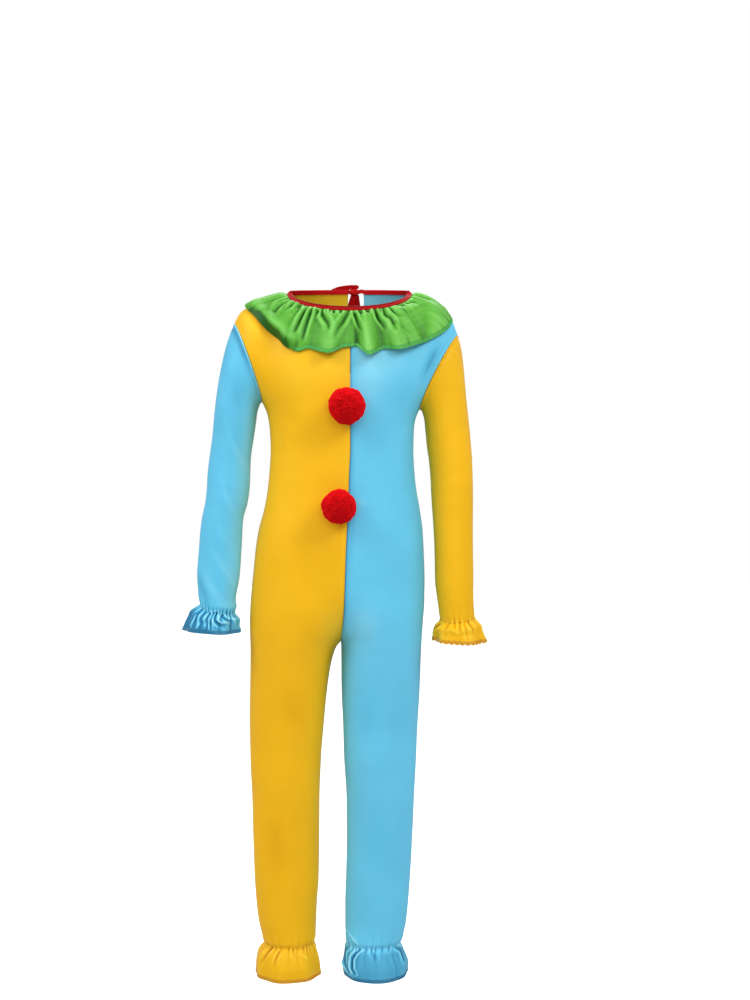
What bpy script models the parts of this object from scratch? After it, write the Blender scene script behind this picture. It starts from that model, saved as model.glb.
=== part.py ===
"""A clown jumpsuit that stands open as if it were worn, with nobody in it.

Two colours are quartered: each half of the body is a front and a back panel cut in one from the
shoulder to the ankle hem, and each sleeve is cut in one with its wrist frill. A gathered ruffle,
a neck binding with a tied bow at the back slit and two pompoms are sewn on. So that nothing bends
round too long a hollow, a panel is three walls that meet above the hips and below the crotch, and
a sleeve two that meet at the elbow; the cloth itself is whole there.

Sizes are in millimetres and become metres when a mesh is made. +X is the wearer's left, -Y is the
front and +Z is up. The origin is the middle of the neck opening, level with the inner ends of the
shoulder seams.
"""

import math
from collections import namedtuple

import bmesh
import bpy
import numpy as np
from mathutils import Vector
from mathutils.bvhtree import BVHTree

MM = 0.001

# ---- driving dimensions -------------------------------------------------------------------
CLOTH = 1.6  # wall of the body and sleeves
RUFFLE_CLOTH = 1.4  # wall of the neck ruffle
SEAM_GAP = 0.3  # between two pieces at a seam
NECK_FRONT = 74.0  # neckline's depth in front of the shoulder line
NECK_BACK = 62.0
NECK_FRONT_Z = -48.0
NECK_BACK_Z = 3.0
SLIT_MIDDLE = 10.0  # x of the back slit at the neck
SLIT_GAP = 35.0  # width of the slit at the neck
SLIT_LENGTH = 280.0
CROTCH_Z = -750.0
FRONT_RISE = 112.0  # height over which the front seam curves in to the crotch
BACK_RISE = 140.0
ARMPIT_Z = -243.0
ARMHOLE_DEPTH = 62.0  # half of the armhole, front to back
ARMHOLE_BOW = 8.0  # how far its seam bends in towards the chest
ANKLE_Z = -1406.0  # the elastic line above the ankle frill
HEM_Z = -1480.0
RUFFLE_WIDTH = 98.0
BINDING_HEIGHT = 11.0
BINDING_THICK = 4.0
TAPE_WIDTH = 10.5
TAPE_THICK = 2.0
POMPOM_CORE = 28.0
POMPOM_LOCKS = 1.33  # how far the locks' tips reach, in core radii
ELASTIC_HALF = 3.5  # half the width of the elastic
ELASTIC_THICK = 1.0

# ---- how finely the solids are divided -----------------------------------------------------
NECK_COLUMNS = 5
SHOULDER_COLUMNS = 4
BODY_COLUMNS = NECK_COLUMNS + SHOULDER_COLUMNS
FRILL_COLUMNS = 3 * BODY_COLUMNS
YOKE_STEPS = (0.0, 0.16, 0.32, 0.48, 0.64, 0.80, 0.93, 1.0)  # armpit level to shoulder
RUFFLE_STEPS = 4  # ruffle stations for each column of the neckline
BODY_LEVELS = (
    -285, -335, -390, -450, -510, -570, -625, -668, -700, -725, -743, CROTCH_Z,
    -766, -800, -860, -930, -1000, -1080, -1160, -1240, -1310, -1362, -1390,
)  # fmt: skip
PANEL_CUTS = [len(YOKE_STEPS) + BODY_LEVELS.index(z) for z in (-570, -766)]  # where its walls meet
ELBOW_ROW = 5  # row of the sleeve tables where its upper and lower walls meet

Knot = namedtuple("Knot", "z x")
Depth = namedtuple("Depth", "z front back middle")
Sleeve = namedtuple("Sleeve", "outer_x outer_z inner_x inner_z depth middle")
Frill = namedtuple("Frill", "z tuck wave")
Half = namedtuple("Half", "name sign side inseam tip armpit shoulder sleeve")

# The centre front seam, from the neck to the crotch.
SEAM_LINE = [
    Knot(-44, 0), Knot(-340, 0), Knot(-385, -2), Knot(-447, -4), Knot(-512, -7),
    Knot(-577, -10), Knot(-642, -12), Knot(-706, -15), Knot(CROTCH_Z, -19),
]  # fmt: skip
# How deep the garment is in front of and behind its side seams, and where those seams lie.
DEPTHS = [
    Depth(-200, 106, 112, 0), Depth(ARMPIT_Z, 110, 112, 0), Depth(-340, 104, 100, 0),
    Depth(-450, 106, 106, 0), Depth(-560, 112, 124, 2), Depth(-650, 108, 130, 4),
    Depth(CROTCH_Z, 96, 112, 8), Depth(-860, 84, 92, 12), Depth(-960, 74, 80, 15),
    Depth(-1080, 66, 66, 16), Depth(-1250, 56, 64, 20), Depth(-1360, 52, 54, 22),
    Depth(ANKLE_Z, 50, 50, 22), Depth(-1425, 60, 60, 22), Depth(-1440, 66, 66, 22),
    Depth(-1458, 70, 70, 22), Depth(HEM_Z, 70, 70, 22),
]  # fmt: skip
# The elastic line and the frill below it: how far the tucks and the soft waves stand out.
FRILLS = [
    Frill(ANKLE_Z, 1.5, 0.0), Frill(-1412, 1.7, 0.6), Frill(-1428, 0.8, 2.6),
    Frill(-1450, 0.0, 4.2), Frill(HEM_Z, 0.0, 5.5),
]  # fmt: skip

RIGHT = Half(
    name="right",
    sign=-1,
    side=[
        Knot(-200, -203), Knot(-235, -192), Knot(-263, -180), Knot(-296, -175),
        Knot(-339, -173), Knot(-382, -175), Knot(-426, -179), Knot(-469, -187),
        Knot(-512, -199), Knot(-555, -206), Knot(-609, -211), Knot(-663, -216),
        Knot(-717, -218), Knot(-771, -217), Knot(-858, -218), Knot(-922, -219),
        Knot(-1009, -218), Knot(-1095, -214), Knot(-1181, -212), Knot(-1268, -209),
        Knot(-1322, -205), Knot(-1365, -199), Knot(-1390, -191), Knot(ANKLE_Z, -187),
        Knot(-1412, -190), Knot(-1425, -199), Knot(-1440, -204), Knot(-1458, -206),
        Knot(HEM_Z, -206),
    ],
    inseam=[
        Knot(CROTCH_Z, -19), Knot(-761, -29), Knot(-771, -34), Knot(-793, -41),
        Knot(-836, -49), Knot(-879, -54), Knot(-922, -58), Knot(-1009, -65),
        Knot(-1095, -68), Knot(-1181, -69), Knot(-1268, -70), Knot(-1322, -74),
        Knot(-1365, -76), Knot(-1390, -78), Knot(ANKLE_Z, -80), Knot(-1412, -79),
        Knot(-1425, -75), Knot(-1440, -70), Knot(-1458, -67), Knot(HEM_Z, -66),
    ],
    tip=(-253.0, -67.0),
    armpit=(-192.0, -235.0),
    shoulder=[
        Knot(-5, -137), Knot(-14, -177), Knot(-27, -212), Knot(-41, -236), Knot(-67, -253),
    ],
    sleeve=[
        Sleeve(-253, -67, -192, -235, 62, 0), Sleeve(-272, -123, -201, -252, 58, 0),
        Sleeve(-285, -188, -206, -283, 54, 0), Sleeve(-294, -253, -212, -322, 52, -1),
        Sleeve(-300, -317, -216, -356, 50, -2), Sleeve(-309, -393, -218, -408, 49, -4),
        Sleeve(-313, -447, -222, -451, 48, -6), Sleeve(-320, -490, -231, -490, 46, -9),
        Sleeve(-327, -555, -235, -555, 44, -13), Sleeve(-330, -609, -239, -609, 42, -17),
        Sleeve(-328, -648, -246, -655, 39, -20), Sleeve(-323, -672, -250, -689, 36, -22),
        Sleeve(-327, -677, -249, -694, 38, -22), Sleeve(-342, -691, -244, -704, 46, -22),
        Sleeve(-353, -709, -240, -720, 53, -22), Sleeve(-359, -728, -236, -736, 57, -22),
    ],
)  # fmt: skip

LEFT = Half(
    name="left",
    sign=1,
    side=[
        Knot(-200, 163), Knot(-251, 149), Knot(-267, 141), Knot(-296, 136),
        Knot(-339, 135), Knot(-382, 137), Knot(-426, 141), Knot(-469, 148),
        Knot(-512, 154), Knot(-555, 157), Knot(-609, 159), Knot(-663, 159),
        Knot(-717, 155), Knot(-771, 152), Knot(-858, 149), Knot(-922, 145),
        Knot(-1009, 141), Knot(-1095, 137), Knot(-1181, 133), Knot(-1268, 128),
        Knot(-1322, 124), Knot(-1365, 119), Knot(-1390, 112), Knot(ANKLE_Z, 107),
        Knot(-1412, 107), Knot(-1425, 111), Knot(-1440, 118), Knot(-1458, 123),
        Knot(HEM_Z, 121),
    ],
    inseam=[
        Knot(CROTCH_Z, -19), Knot(-761, -18), Knot(-771, -18), Knot(-793, -18),
        Knot(-836, -18), Knot(-879, -17), Knot(-922, -15), Knot(-1009, -13),
        Knot(-1095, -9), Knot(-1181, -9), Knot(-1268, -11), Knot(-1322, -13),
        Knot(-1365, -13), Knot(-1390, -11), Knot(ANKLE_Z, -10), Knot(-1412, -11),
        Knot(-1425, -14), Knot(-1440, -17), Knot(-1458, -19), Knot(HEM_Z, -15),
    ],
    tip=(232.0, -93.0),
    armpit=(149.0, -251.0),
    shoulder=[
        Knot(-5, 131), Knot(-11, 164), Knot(-28, 194), Knot(-56, 216), Knot(-93, 232),
    ],
    sleeve=[
        Sleeve(232, -93, 149, -251, 62, 0), Sleeve(241, -136, 158, -270, 58, 0),
        Sleeve(247, -188, 162, -304, 54, 0), Sleeve(251, -240, 165, -335, 52, -1),
        Sleeve(257, -307, 169, -364, 50, -2), Sleeve(262, -370, 172, -404, 49, -4),
        Sleeve(263, -430, 174, -447, 48, -6), Sleeve(263, -490, 177, -498, 46, -9),
        Sleeve(263, -555, 180, -557, 44, -13), Sleeve(263, -620, 182, -622, 42, -17),
        Sleeve(264, -665, 187, -668, 39, -20), Sleeve(265, -699, 192, -704, 36, -22),
        Sleeve(267, -704, 190, -709, 38, -22), Sleeve(276, -719, 184, -721, 46, -22),
        Sleeve(285, -738, 179, -737, 52, -22), Sleeve(291, -757, 177, -753, 56, -22),
    ],
)  # fmt: skip

SLEEVE_ELASTIC = 11  # row of the sleeve tables that the wrist elastic gathers
WRIST_TUCKS = {0: 1.3, 1: 1.5, 2: 0.6}  # tuck height on the rows from the elastic down
WRIST_WAVES = {1: 0.5, 2: 2.2, 3: 3.8, 4: 5.0}


# ---- curves through the tables --------------------------------------------------------------
def hermite(knots, values, at):
    """A smooth curve through a table, which doesn't swing past its values."""
    knots, values = np.asarray(knots, float), np.asarray(values, float)
    if knots[0] > knots[-1]:
        knots, values = knots[::-1], values[::-1]
    steps = np.diff(knots)
    slopes = np.diff(values) / steps
    before, after, both = steps[:-1], steps[1:], slopes[:-1] * slopes[1:]
    share = (2 * after + before) * slopes[1:] + (after + 2 * before) * slopes[:-1]
    inner = np.where(both > 0, 3 * (before + after) * both / np.where(both > 0, share, 1), 0)
    tangents = np.concatenate([slopes[:1], inner, slopes[-1:]])
    at = np.clip(np.asarray(at, float), knots[0], knots[-1])
    i = np.clip(np.searchsorted(knots, at) - 1, 0, len(steps) - 1)
    h = steps[i]
    t = (at - knots[i]) / h
    return (
        (2 * t**3 - 3 * t**2 + 1) * values[i]
        + (t**3 - 2 * t**2 + t) * h * tangents[i]
        + (3 * t**2 - 2 * t**3) * values[i + 1]
        + (t**3 - t**2) * h * tangents[i + 1]
    )


def column(table, name, at, key="z"):
    """One column of a table as a smooth curve over another of its columns."""
    return hermite([getattr(r, key) for r in table], [getattr(r, name) for r in table], at)


def unit(v):
    v = np.asarray(v, float)
    return v / np.maximum(np.linalg.norm(v, axis=-1, keepdims=True), 1e-9)


def points(x, y, z):
    return np.stack(np.broadcast_arrays(x, y, z), axis=-1).astype(float)


# ---- the body -------------------------------------------------------------------------------
def slit_opening(z):
    """Half the width that the back slit stands open at height z."""
    share = np.clip(1 + np.asarray(z, float) / SLIT_LENGTH, 0, 1)
    return SLIT_GAP / 2 * share**0.7


def centre_line(half, face, z):
    """x of the centre front or centre back edge of this half."""
    seam = column(SEAM_LINE, "x", z)
    if face == "front":
        return seam
    return seam + SLIT_MIDDLE * np.clip(1 + z / 400, 0, 1) + half.sign * slit_opening(z)


def section(half, face, share, z):
    """Points round one panel at height z, from the centre seam or inseam (0) to the side seam (1).

    Above the crotch the panel starts on the centre seam. Towards the crotch that start moves
    round, until the two panels of the half close into the tube of a leg.
    """
    z = np.broadcast_to(np.asarray(z, float), np.shape(share))
    rise = FRONT_RISE if face == "front" else BACK_RISE
    closing = np.clip(1 - (z - CROTCH_Z) / rise, 0, 1)
    inner = np.where(z > CROTCH_Z, centre_line(half, face, z), column(half.inseam, "x", z))
    outer = column(half.side, "x", z)
    reach = (outer - inner) / (1 + closing)
    square = 1.14 - 0.14 * closing  # the torso is a little squarer than a leg
    start = np.arccos(closing**square)
    turn = start + (math.pi - start) * share
    along = np.sign(np.cos(turn)) * np.abs(np.cos(turn)) ** (1 / square)
    out = np.abs(np.sin(turn)) ** (1 / square)
    depth = column(DEPTHS, face, z) * (-1 if face == "front" else 1)
    return points(inner + reach * (closing - along), column(DEPTHS, "middle", z) + depth * out, z)


def armhole(half, face, share):
    """The armhole seam from the armpit (0) to the shoulder tip (1)."""
    tip, armpit = np.array([half.tip[0], 0, half.tip[1]]), np.array([half.armpit[0], 0, half.armpit[1]])
    swing = math.pi * np.asarray(share, float)[..., None]
    forward = np.array([0, -1 if face == "front" else 1, 0])
    loop = (tip + armpit) / 2 + (armpit - tip) / 2 * np.cos(swing)
    return loop + (ARMHOLE_DEPTH * forward - ARMHOLE_BOW * armhole_normal(half)) * np.sin(swing)


def armhole_normal(half):
    """Unit vector across the armhole, out of the body."""
    along = np.array([half.tip[0] - half.armpit[0], 0, half.tip[1] - half.armpit[1]])
    return unit(np.array([along[2], 0, -along[0]]) * half.sign)


def top_edge(half, face, share):
    """The neckline, from the centre to the shoulder point, and then the shoulder seam."""
    corner = NECK_COLUMNS / BODY_COLUMNS
    turn = np.clip(share / corner, 0, 1) * math.pi / 2
    low = NECK_FRONT_Z if face == "front" else NECK_BACK_Z
    depth = -NECK_FRONT if face == "front" else NECK_BACK
    start, point = centre_line(half, face, low), half.shoulder[0]
    neck_x = start + (point.x - start) * np.sin(turn)
    neck_z = point.z + (low - point.z) * np.cos(turn)
    past = np.clip((share - corner) / (1 - corner), 0, 1)
    spaced = np.linspace(0, 1, len(half.shoulder))
    run_x = hermite(spaced, [k.x for k in half.shoulder], past)
    run_z = hermite(spaced, [k.z for k in half.shoulder], past)
    on_neck = share <= corner
    x = np.where(on_neck, neck_x, run_x)
    return points(x, depth * np.cos(turn), np.where(on_neck, neck_z, run_z))


def armpit_level(half, share, z=ARMPIT_Z, fade=1.0):
    """The level's height along a panel: it tilts to meet this side's own armpit."""
    return z + (half.armpit[1] - ARMPIT_Z) * share**3 * fade


def yoke(half, face, share, rise):
    """Points of the chest or shoulder blade: rise runs from armpit level (0) to the top edge (1)."""

    def arc(share):
        low = armpit_level(half, share)
        base, under = section(half, face, share, low), section(half, face, share, low - 25)
        top = top_edge(half, face, share)
        span = np.linalg.norm(top - base, axis=-1, keepdims=True)
        toward = (-half.sign, 1 if face == "front" else -1, 1)
        over = np.stack([np.interp(share, OVER_SHARES, axis) for axis in zip(*OVER[face])], axis=1)
        over = unit(over * toward)
        t = rise
        return (
            (2 * t**3 - 3 * t**2 + 1) * base
            + (t**3 - 2 * t**2 + t) * span * unit(base - under)
            + (3 * t**2 - 2 * t**3) * top
            + (t**3 - t**2) * span * over
        )

    share = np.asarray(share, float)
    miss = armhole(half, face, np.array(rise)) - arc(np.array([1.0]))[0]
    return arc(share) + (share**2.5)[:, None] * miss


# The way that the cloth runs as it meets the top edge, at the centre, the neck end of the
# shoulder seam, the middle of that seam and its tip: towards the middle, over it and up.
OVER_SHARES = (0, NECK_COLUMNS / BODY_COLUMNS, 0.78, 1)
OVER = {
    "front": ((0, 0.56, 0.83), (0.55, 0.62, 0.36), (0.12, 0.98, 0.12), (0, 1, 0.03)),
    "back": ((0, 0.37, 0.93), (0.55, 0.62, 0.36), (0.12, 0.98, 0.12), (0, 1, 0.03)),
}


def frill_points(half, face, level):
    """The gathered ankle: tucks at the elastic line turn into soft waves at the hem."""
    share = np.linspace(0, 1, FRILL_COLUMNS + 1)
    ring = section(half, face, share, level.z)
    out = unit((ring - (ring[0] + ring[-1]) / 2) * [1, 1, 0])
    ends = np.minimum(1, np.minimum(share, 1 - share) * FRILL_COLUMNS)
    zigzag = np.where(np.arange(FRILL_COLUMNS + 1) % 2, 1, -1) * level.tuck
    uneven = share + 0.035 * np.sin(2 * math.pi * share) * (1 if face == "front" else -1)
    wave = level.wave * np.sin(2 * math.pi * 4 * uneven) * (1 if face == "front" else -1)
    return ring + out * ((zigzag + wave) * ends)[:, None]


def panel_rows(half, face):
    """Every row of a panel, from the shoulder to the ankle hem."""
    share = np.linspace(0, 1, BODY_COLUMNS + 1)
    rows = [yoke(half, face, share, rise) for rise in reversed(YOKE_STEPS)]
    for z in BODY_LEVELS:
        fade = max(0.0, 1 - (ARMPIT_Z - z) / 120)
        rows.append(section(half, face, share, armpit_level(half, share, z, fade)))
    rows += [frill_points(half, face, level) for level in FRILLS]
    return rows


def panel_seams(half, face, rows):
    """Which way each seam edge of a panel lies back from its neighbour."""
    away = np.array([0, -1 if face == "front" else 1, 0.0])
    outward = np.array([half.sign, 0, 0.0])
    into_body = -armhole_normal(half)
    armpit_row = len(YOKE_STEPS) - 1
    crotch_row = armpit_row + 1 + BODY_LEVELS.index(CROTCH_Z)
    seams = {}
    for r in range(len(rows)):
        last = len(rows[r]) - 1
        if r <= crotch_row:
            seams.setdefault((r, 0), []).append(outward)
        if r >= crotch_row:
            seams.setdefault((r, 0), []).append(away)
        if r <= armpit_row:
            seams.setdefault((r, last), []).append(into_body)
        if r >= armpit_row:
            seams.setdefault((r, last), []).append(away)
    for c in range(NECK_COLUMNS, BODY_COLUMNS + 1):
        seams.setdefault((0, c), []).append(away)
    return seams


# ---- walls of cloth -------------------------------------------------------------------------
def strip(a, b):
    """Triangles between two rows of point numbers, which may differ in count."""
    n, m = len(a) - 1, len(b) - 1
    faces, i, j = [], 0, 0
    while i < n or j < m:
        if n == m:
            faces += [(a[i], a[i + 1], b[j + 1]), (a[i], b[j + 1], b[j])]
            i, j = i + 1, j + 1
        elif i == n or (j < m and (j + 1) * n <= (i + 1) * m):
            faces.append((a[i], b[j + 1], b[j]))
            j += 1
        else:
            faces.append((a[i], a[i + 1], b[j]))
            i += 1
    return faces


def vertex_normals(verts, faces):
    a, b, c = (verts[[f[k] for f in faces]] for k in range(3))
    flat = np.cross(b - a, c - a)
    total = np.zeros_like(verts)
    for k in range(3):
        np.add.at(total, [f[k] for f in faces], flat)
    return unit(total)


def wall(name, rows, thick, flip=False, closed=False, seams=None):
    """A closed wall of cloth behind rows of points on its outer face.

    The outer face looks along (to the next point) x (to the next row), or the other way with
    flip. seams gives, for a (row, column), the directions in which that edge lies back from its
    neighbours: the edge is moved back by half the seam gap and its end face squared to them.
    Returns the object with its outer rows and the normals there.
    """
    seams = seams or {}
    starts = np.cumsum([0] + [len(r) for r in rows])
    outer = np.concatenate(rows)
    loops = [list(range(starts[i], starts[i + 1])) for i in range(len(rows))]
    walks = [loop + loop[:1] for loop in loops] if closed else loops
    faces = [f for a, b in zip(walks, walks[1:]) for f in strip(a, b)]
    faces = [f[::-1] for f in faces] if flip else faces
    normals = vertex_normals(outer, faces)
    offset = normals * thick
    for (r, c), directions in seams.items():
        i = starts[r] + c
        n = normals[i]
        for d in directions:
            outer[i] += d * SEAM_GAP / 2
        for d in directions * 3:
            n = n - (n @ d) * d
        size = np.linalg.norm(n)
        offset[i] = n / size * thick * min(1 / size, 2.2)
    count = len(outer)
    verts = np.concatenate([outer, outer - offset])
    back = [tuple(k + count for k in f[::-1]) for f in faces]
    rim = [(a, b, b + count, a + count) for a, b in open_edges(faces)]
    obj = make_object(name, verts, faces + back + [f[::-1] for f in rim])
    split = [outer[a:b] for a, b in zip(starts, starts[1:])]
    return obj, split, [normals[a:b] for a, b in zip(starts, starts[1:])]


def parted_wall(names, rows, cuts, down, seams, **how):
    """One piece of cloth as several walls that meet at the rows in cuts; down runs along it there."""
    outer, normals = [], []
    ends = [0, *cuts, len(rows) - 1]
    for name, first, last in zip(names, ends, ends[1:]):
        own = {(r - first, c): list(found) for (r, c), found in seams.items() if first <= r <= last}
        for cut, way in ((first, 1), (last, -1)):
            if cut in cuts:
                for c in range(len(rows[cut])):
                    own.setdefault((cut - first, c), []).append(way * down)
        sheet, directions = wall(name, rows[first:last + 1], CLOTH, seams=own, **how)[1:]
        outer += sheet
        normals += directions
    return outer, normals


def open_edges(faces):
    """The directed edges that only one face uses."""
    edges = {(f[k], f[(k + 1) % 3]) for f in faces for k in range(3)}
    return [e for e in sorted(edges) if e[::-1] not in edges]


def make_object(name, verts, faces):
    mesh = bpy.data.meshes.new(name)
    mesh.from_pydata([tuple(v * MM) for v in verts], [], [tuple(int(i) for i in f) for f in faces])
    mesh.validate()
    bm = bmesh.new()
    bm.from_mesh(mesh)
    bmesh.ops.recalc_face_normals(bm, faces=bm.faces)
    bm.to_mesh(mesh)
    bm.free()
    obj = bpy.data.objects.new(name, mesh)
    bpy.context.collection.objects.link(obj)
    return obj


# ---- sleeves ----------------------------------------------------------------------------------
def sleeve_ring(half, at, share):
    """One ring of the sleeve: at is a row of its table, share runs once round the ring.

    The ring starts at the inner side and passes the front, the outer side and the back.
    """
    index = np.arange(len(half.sleeve))
    row = Sleeve(*(float(hermite(index, column_values, at)) for column_values in zip(*half.sleeve)))
    outer = np.array([row.outer_x, row.middle, row.outer_z])
    inner = np.array([row.inner_x, row.middle, row.inner_z])
    swing = 2 * math.pi * share[:, None]
    ring = (outer + inner) / 2 + (inner - outer) / 2 * np.cos(swing)
    bow = ARMHOLE_BOW * max(0.0, 1 - at / 2) * armhole_normal(half)
    return ring - np.array([0, row.depth, 0]) * np.sin(swing) - bow * np.abs(np.sin(swing))


def finer(share, times):
    """The same way round a ring in more steps."""
    return np.interp(np.arange(len(share) * times) / times, np.arange(len(share) + 1), np.append(share, 1))


def ring_shares():
    """The armhole's points as shares of the way round it."""
    front = np.array(YOKE_STEPS) / 2
    return np.concatenate([front, 1 - front[-2:0:-1]])


def make_sleeve(half):
    share = ring_shares()
    rows = [sleeve_ring(half, 0, share)]
    rows += [sleeve_ring(half, at, finer(share, 2)) for at in range(1, SLEEVE_ELASTIC)]
    fine = finer(share, 3)
    for k in range(len(half.sleeve) - SLEEVE_ELASTIC):
        ring = sleeve_ring(half, SLEEVE_ELASTIC + k, fine)
        out = unit(ring - ring.mean(axis=0))
        zigzag = np.where(np.arange(len(fine)) % 2, 1, -1) * WRIST_TUCKS.get(k, 0)
        uneven = fine + 0.02 * np.sin(4 * math.pi * fine)
        wave = WRIST_WAVES.get(k, 0) * np.sin(2 * math.pi * 7 * uneven + half.sign)
        rows.append(ring + out * (zigzag + wave)[:, None])
    seams = {(0, c): [armhole_normal(half)] for c in range(len(share))}
    elbow = half.sleeve[ELBOW_ROW]
    down = unit([(elbow.outer_z - elbow.inner_z) * half.sign, 0, (elbow.inner_x - elbow.outer_x) * half.sign])
    names = f"sleeve_{half.name}_upper", f"sleeve_{half.name}_lower"
    return parted_wall(names, rows, [ELBOW_ROW], down, seams, flip=half.sign > 0, closed=True)


# ---- elastic inside the ankles and wrists ---------------------------------------------------
def elastic(name, ring, axis, tuck, flip):
    """A narrow band stretched round the inside of a gathered line."""
    middle = ring.mean(axis=0)
    reach = np.linalg.norm(ring - middle, axis=1, keepdims=True)
    inside = middle + (ring - middle) * (1 - (CLOTH + tuck + 0.05) / reach)
    rows = [inside - axis * ELASTIC_HALF, inside + axis * ELASTIC_HALF]
    wall(name, rows, ELASTIC_THICK, flip=flip, closed=True)


def make_elastics(half):
    share = np.array([0, *range(1, FRILL_COLUMNS, 2), FRILL_COLUMNS]) / FRILL_COLUMNS
    front, back = section(half, "front", share, ANKLE_Z), section(half, "back", share, ANKLE_Z)
    ankle = np.concatenate([front, back[-2:0:-1]])
    elastic(f"elastic_ankle_{half.name}", ankle, np.array([0, 0, -1.0]), FRILLS[0].tuck, half.sign > 0)
    share = finer(ring_shares(), 3)[1::2]
    wrist = sleeve_ring(half, SLEEVE_ELASTIC, share)
    above, below = (sleeve_ring(half, SLEEVE_ELASTIC + k, share).mean(axis=0) for k in (-1, 1))
    elastic(f"elastic_wrist_{half.name}", wrist, unit(below - above), WRIST_TUCKS[0], half.sign > 0)


# ---- neck: stations, ruffle and binding -------------------------------------------------------
Station = namedtuple("Station", "point normal down")
Ruffle = namedtuple("Ruffle", "reach tuck wave lift")
Fold = namedtuple("Fold", "place width out")

# From the binding to the hem: share of the width, height of the tucks and of the waves, and
# how far the cloth stands off the body.
RUFFLE_ROWS = [
    Ruffle(0.0, 0.0, 0.0, 0.4), Ruffle(0.05, 1.3, 0.0, 2.2), Ruffle(0.16, 1.6, 2.0, 4.5),
    Ruffle(0.40, 0.5, 6.0, 8.0), Ruffle(0.70, 0.0, 9.5, 11.0), Ruffle(1.0, 0.0, 12.5, 14.0),
]  # fmt: skip
# The folds of the hem, from the back slit round the wearer's right side and the front: share of
# the way round, width there against the usual, and how far it stands out or lies in.
RUFFLE_FOLDS = [
    Fold(0.00, 0.96, -0.2), Fold(0.04, 1.02, 0.9), Fold(0.08, 0.97, -0.8), Fold(0.12, 1.02, 1.0),
    Fold(0.16, 0.97, -0.8), Fold(0.20, 0.95, 0.5), Fold(0.24, 0.90, -0.6), Fold(0.275, 0.91, 0.0),
    Fold(0.305, 0.89, -0.7), Fold(0.335, 0.92, 0.3), Fold(0.36, 0.97, 0.6), Fold(0.385, 1.09, 0.0),
    Fold(0.405, 1.11, -0.6), Fold(0.425, 1.00, -0.8), Fold(0.462, 1.08, 1.0), Fold(0.49, 0.89, -0.6),
    Fold(0.51, 0.86, -1.0), Fold(0.532, 1.12, 1.5), Fold(0.562, 0.98, -0.8), Fold(0.59, 1.08, 0.6),
    Fold(0.625, 1.06, 0.2), Fold(0.65, 1.08, -0.6), Fold(0.68, 1.10, 0.1), Fold(0.70, 1.04, 0.3),
    Fold(0.73, 0.92, -0.3), Fold(0.75, 0.90, -0.6), Fold(0.79, 0.94, 0.5), Fold(0.84, 0.97, -0.8),
    Fold(0.88, 1.02, 1.0), Fold(0.92, 0.97, -0.8), Fold(0.96, 1.02, 0.9), Fold(1.00, 0.96, -0.2),
]  # fmt: skip
BINDING_SECTION = ((-1, 0.0), (-0.8, 0.85), (0.55, 1.0), (1, 0.35), (1, -0.35), (0.55, -1.0), (-0.8, -0.85))


def neck_stations(panels):
    """Points along the neckline, from the back slit round the right side and front to the slit."""
    order = [("right", "back", 1), ("right", "front", -1), ("left", "front", 1), ("left", "back", -1)]
    found = []
    for side, face, way in order:
        rows, normals = panels[side, face]
        run = [(rows[0][c], normals[0][c]) for c in range(NECK_COLUMNS + 1)][::way]
        if found:
            point, normal = found.pop()
            run[0] = ((point + run[0][0]) / 2, unit(normal + run[0][1]))
        found += run
    place = np.array([p for p, _ in found])
    normal = np.array([n for _, n in found])
    down = unit(np.cross(unit(np.gradient(place, axis=0)), normal))
    if (down * (place - place.mean(axis=0))).sum() < 0:
        down = -down
    return [Station(*row) for row in zip(place, normal, down)]


def refine(rows, steps):
    """More rows between the given ones, in a straight line from each to the next."""
    rows = np.asarray(rows)
    at = np.arange((len(rows) - 1) * steps + 1) / steps
    i = np.minimum(at.astype(int), len(rows) - 2)
    return rows[i] + (rows[i + 1] - rows[i]) * (at - i)[:, None]


def surface_tree(sheets):
    """The outer faces of several walls, for finding the nearest place on them."""
    verts, faces = [], []
    for rows in sheets:
        starts = len(verts) + np.cumsum([0] + [len(r) for r in rows])
        loops = [list(range(a, b)) for a, b in zip(starts, starts[1:])]
        verts += [Vector(p) for r in rows for p in r]
        faces += [f for a, b in zip(loops, loops[1:]) for f in strip(a, b)]
    return BVHTree.FromPolygons(verts, faces)


def walk_over(tree, place, normal, heading, distance, stride=6.0):
    """Goes a distance over a surface from a place, and gives the place and normal there."""
    left = distance
    while left > 1e-6:
        step = min(stride, left)
        hit, face_normal, _, _ = tree.find_nearest(Vector(place + heading * step))
        face_normal = np.array(face_normal)
        normal = unit(0.6 * normal + 0.4 * face_normal * np.sign(face_normal @ normal))
        place = np.array(hit)
        heading = unit(heading - (heading @ normal) * normal)
        left -= step
    return place, normal


def make_ruffle(stations, tree):
    place = refine([s.point for s in stations], RUFFLE_STEPS)
    normal = unit(refine([s.normal for s in stations], RUFFLE_STEPS))
    down = unit(refine([s.down for s in stations], RUFFLE_STEPS))
    share = np.linspace(0, 1, len(place))
    width = column(RUFFLE_FOLDS, "width", share, key="place") * RUFFLE_WIDTH
    out = column(RUFFLE_FOLDS, "out", share, key="place")
    zigzag = np.where(np.arange(len(place)) % 2, 1, -1)
    rows = []
    for level in RUFFLE_ROWS:
        row = []
        for i in range(len(place)):
            at, up = walk_over(tree, place[i], normal[i], down[i], width[i] * level.reach)
            height = level.lift + level.wave * out[i] + level.tuck * zigzag[i]
            row.append(at + up * (RUFFLE_CLOTH + height))
        rows.append(np.array(row))
    return wall("neck_ruffle", rows, RUFFLE_CLOTH, flip=True)[1]


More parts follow.
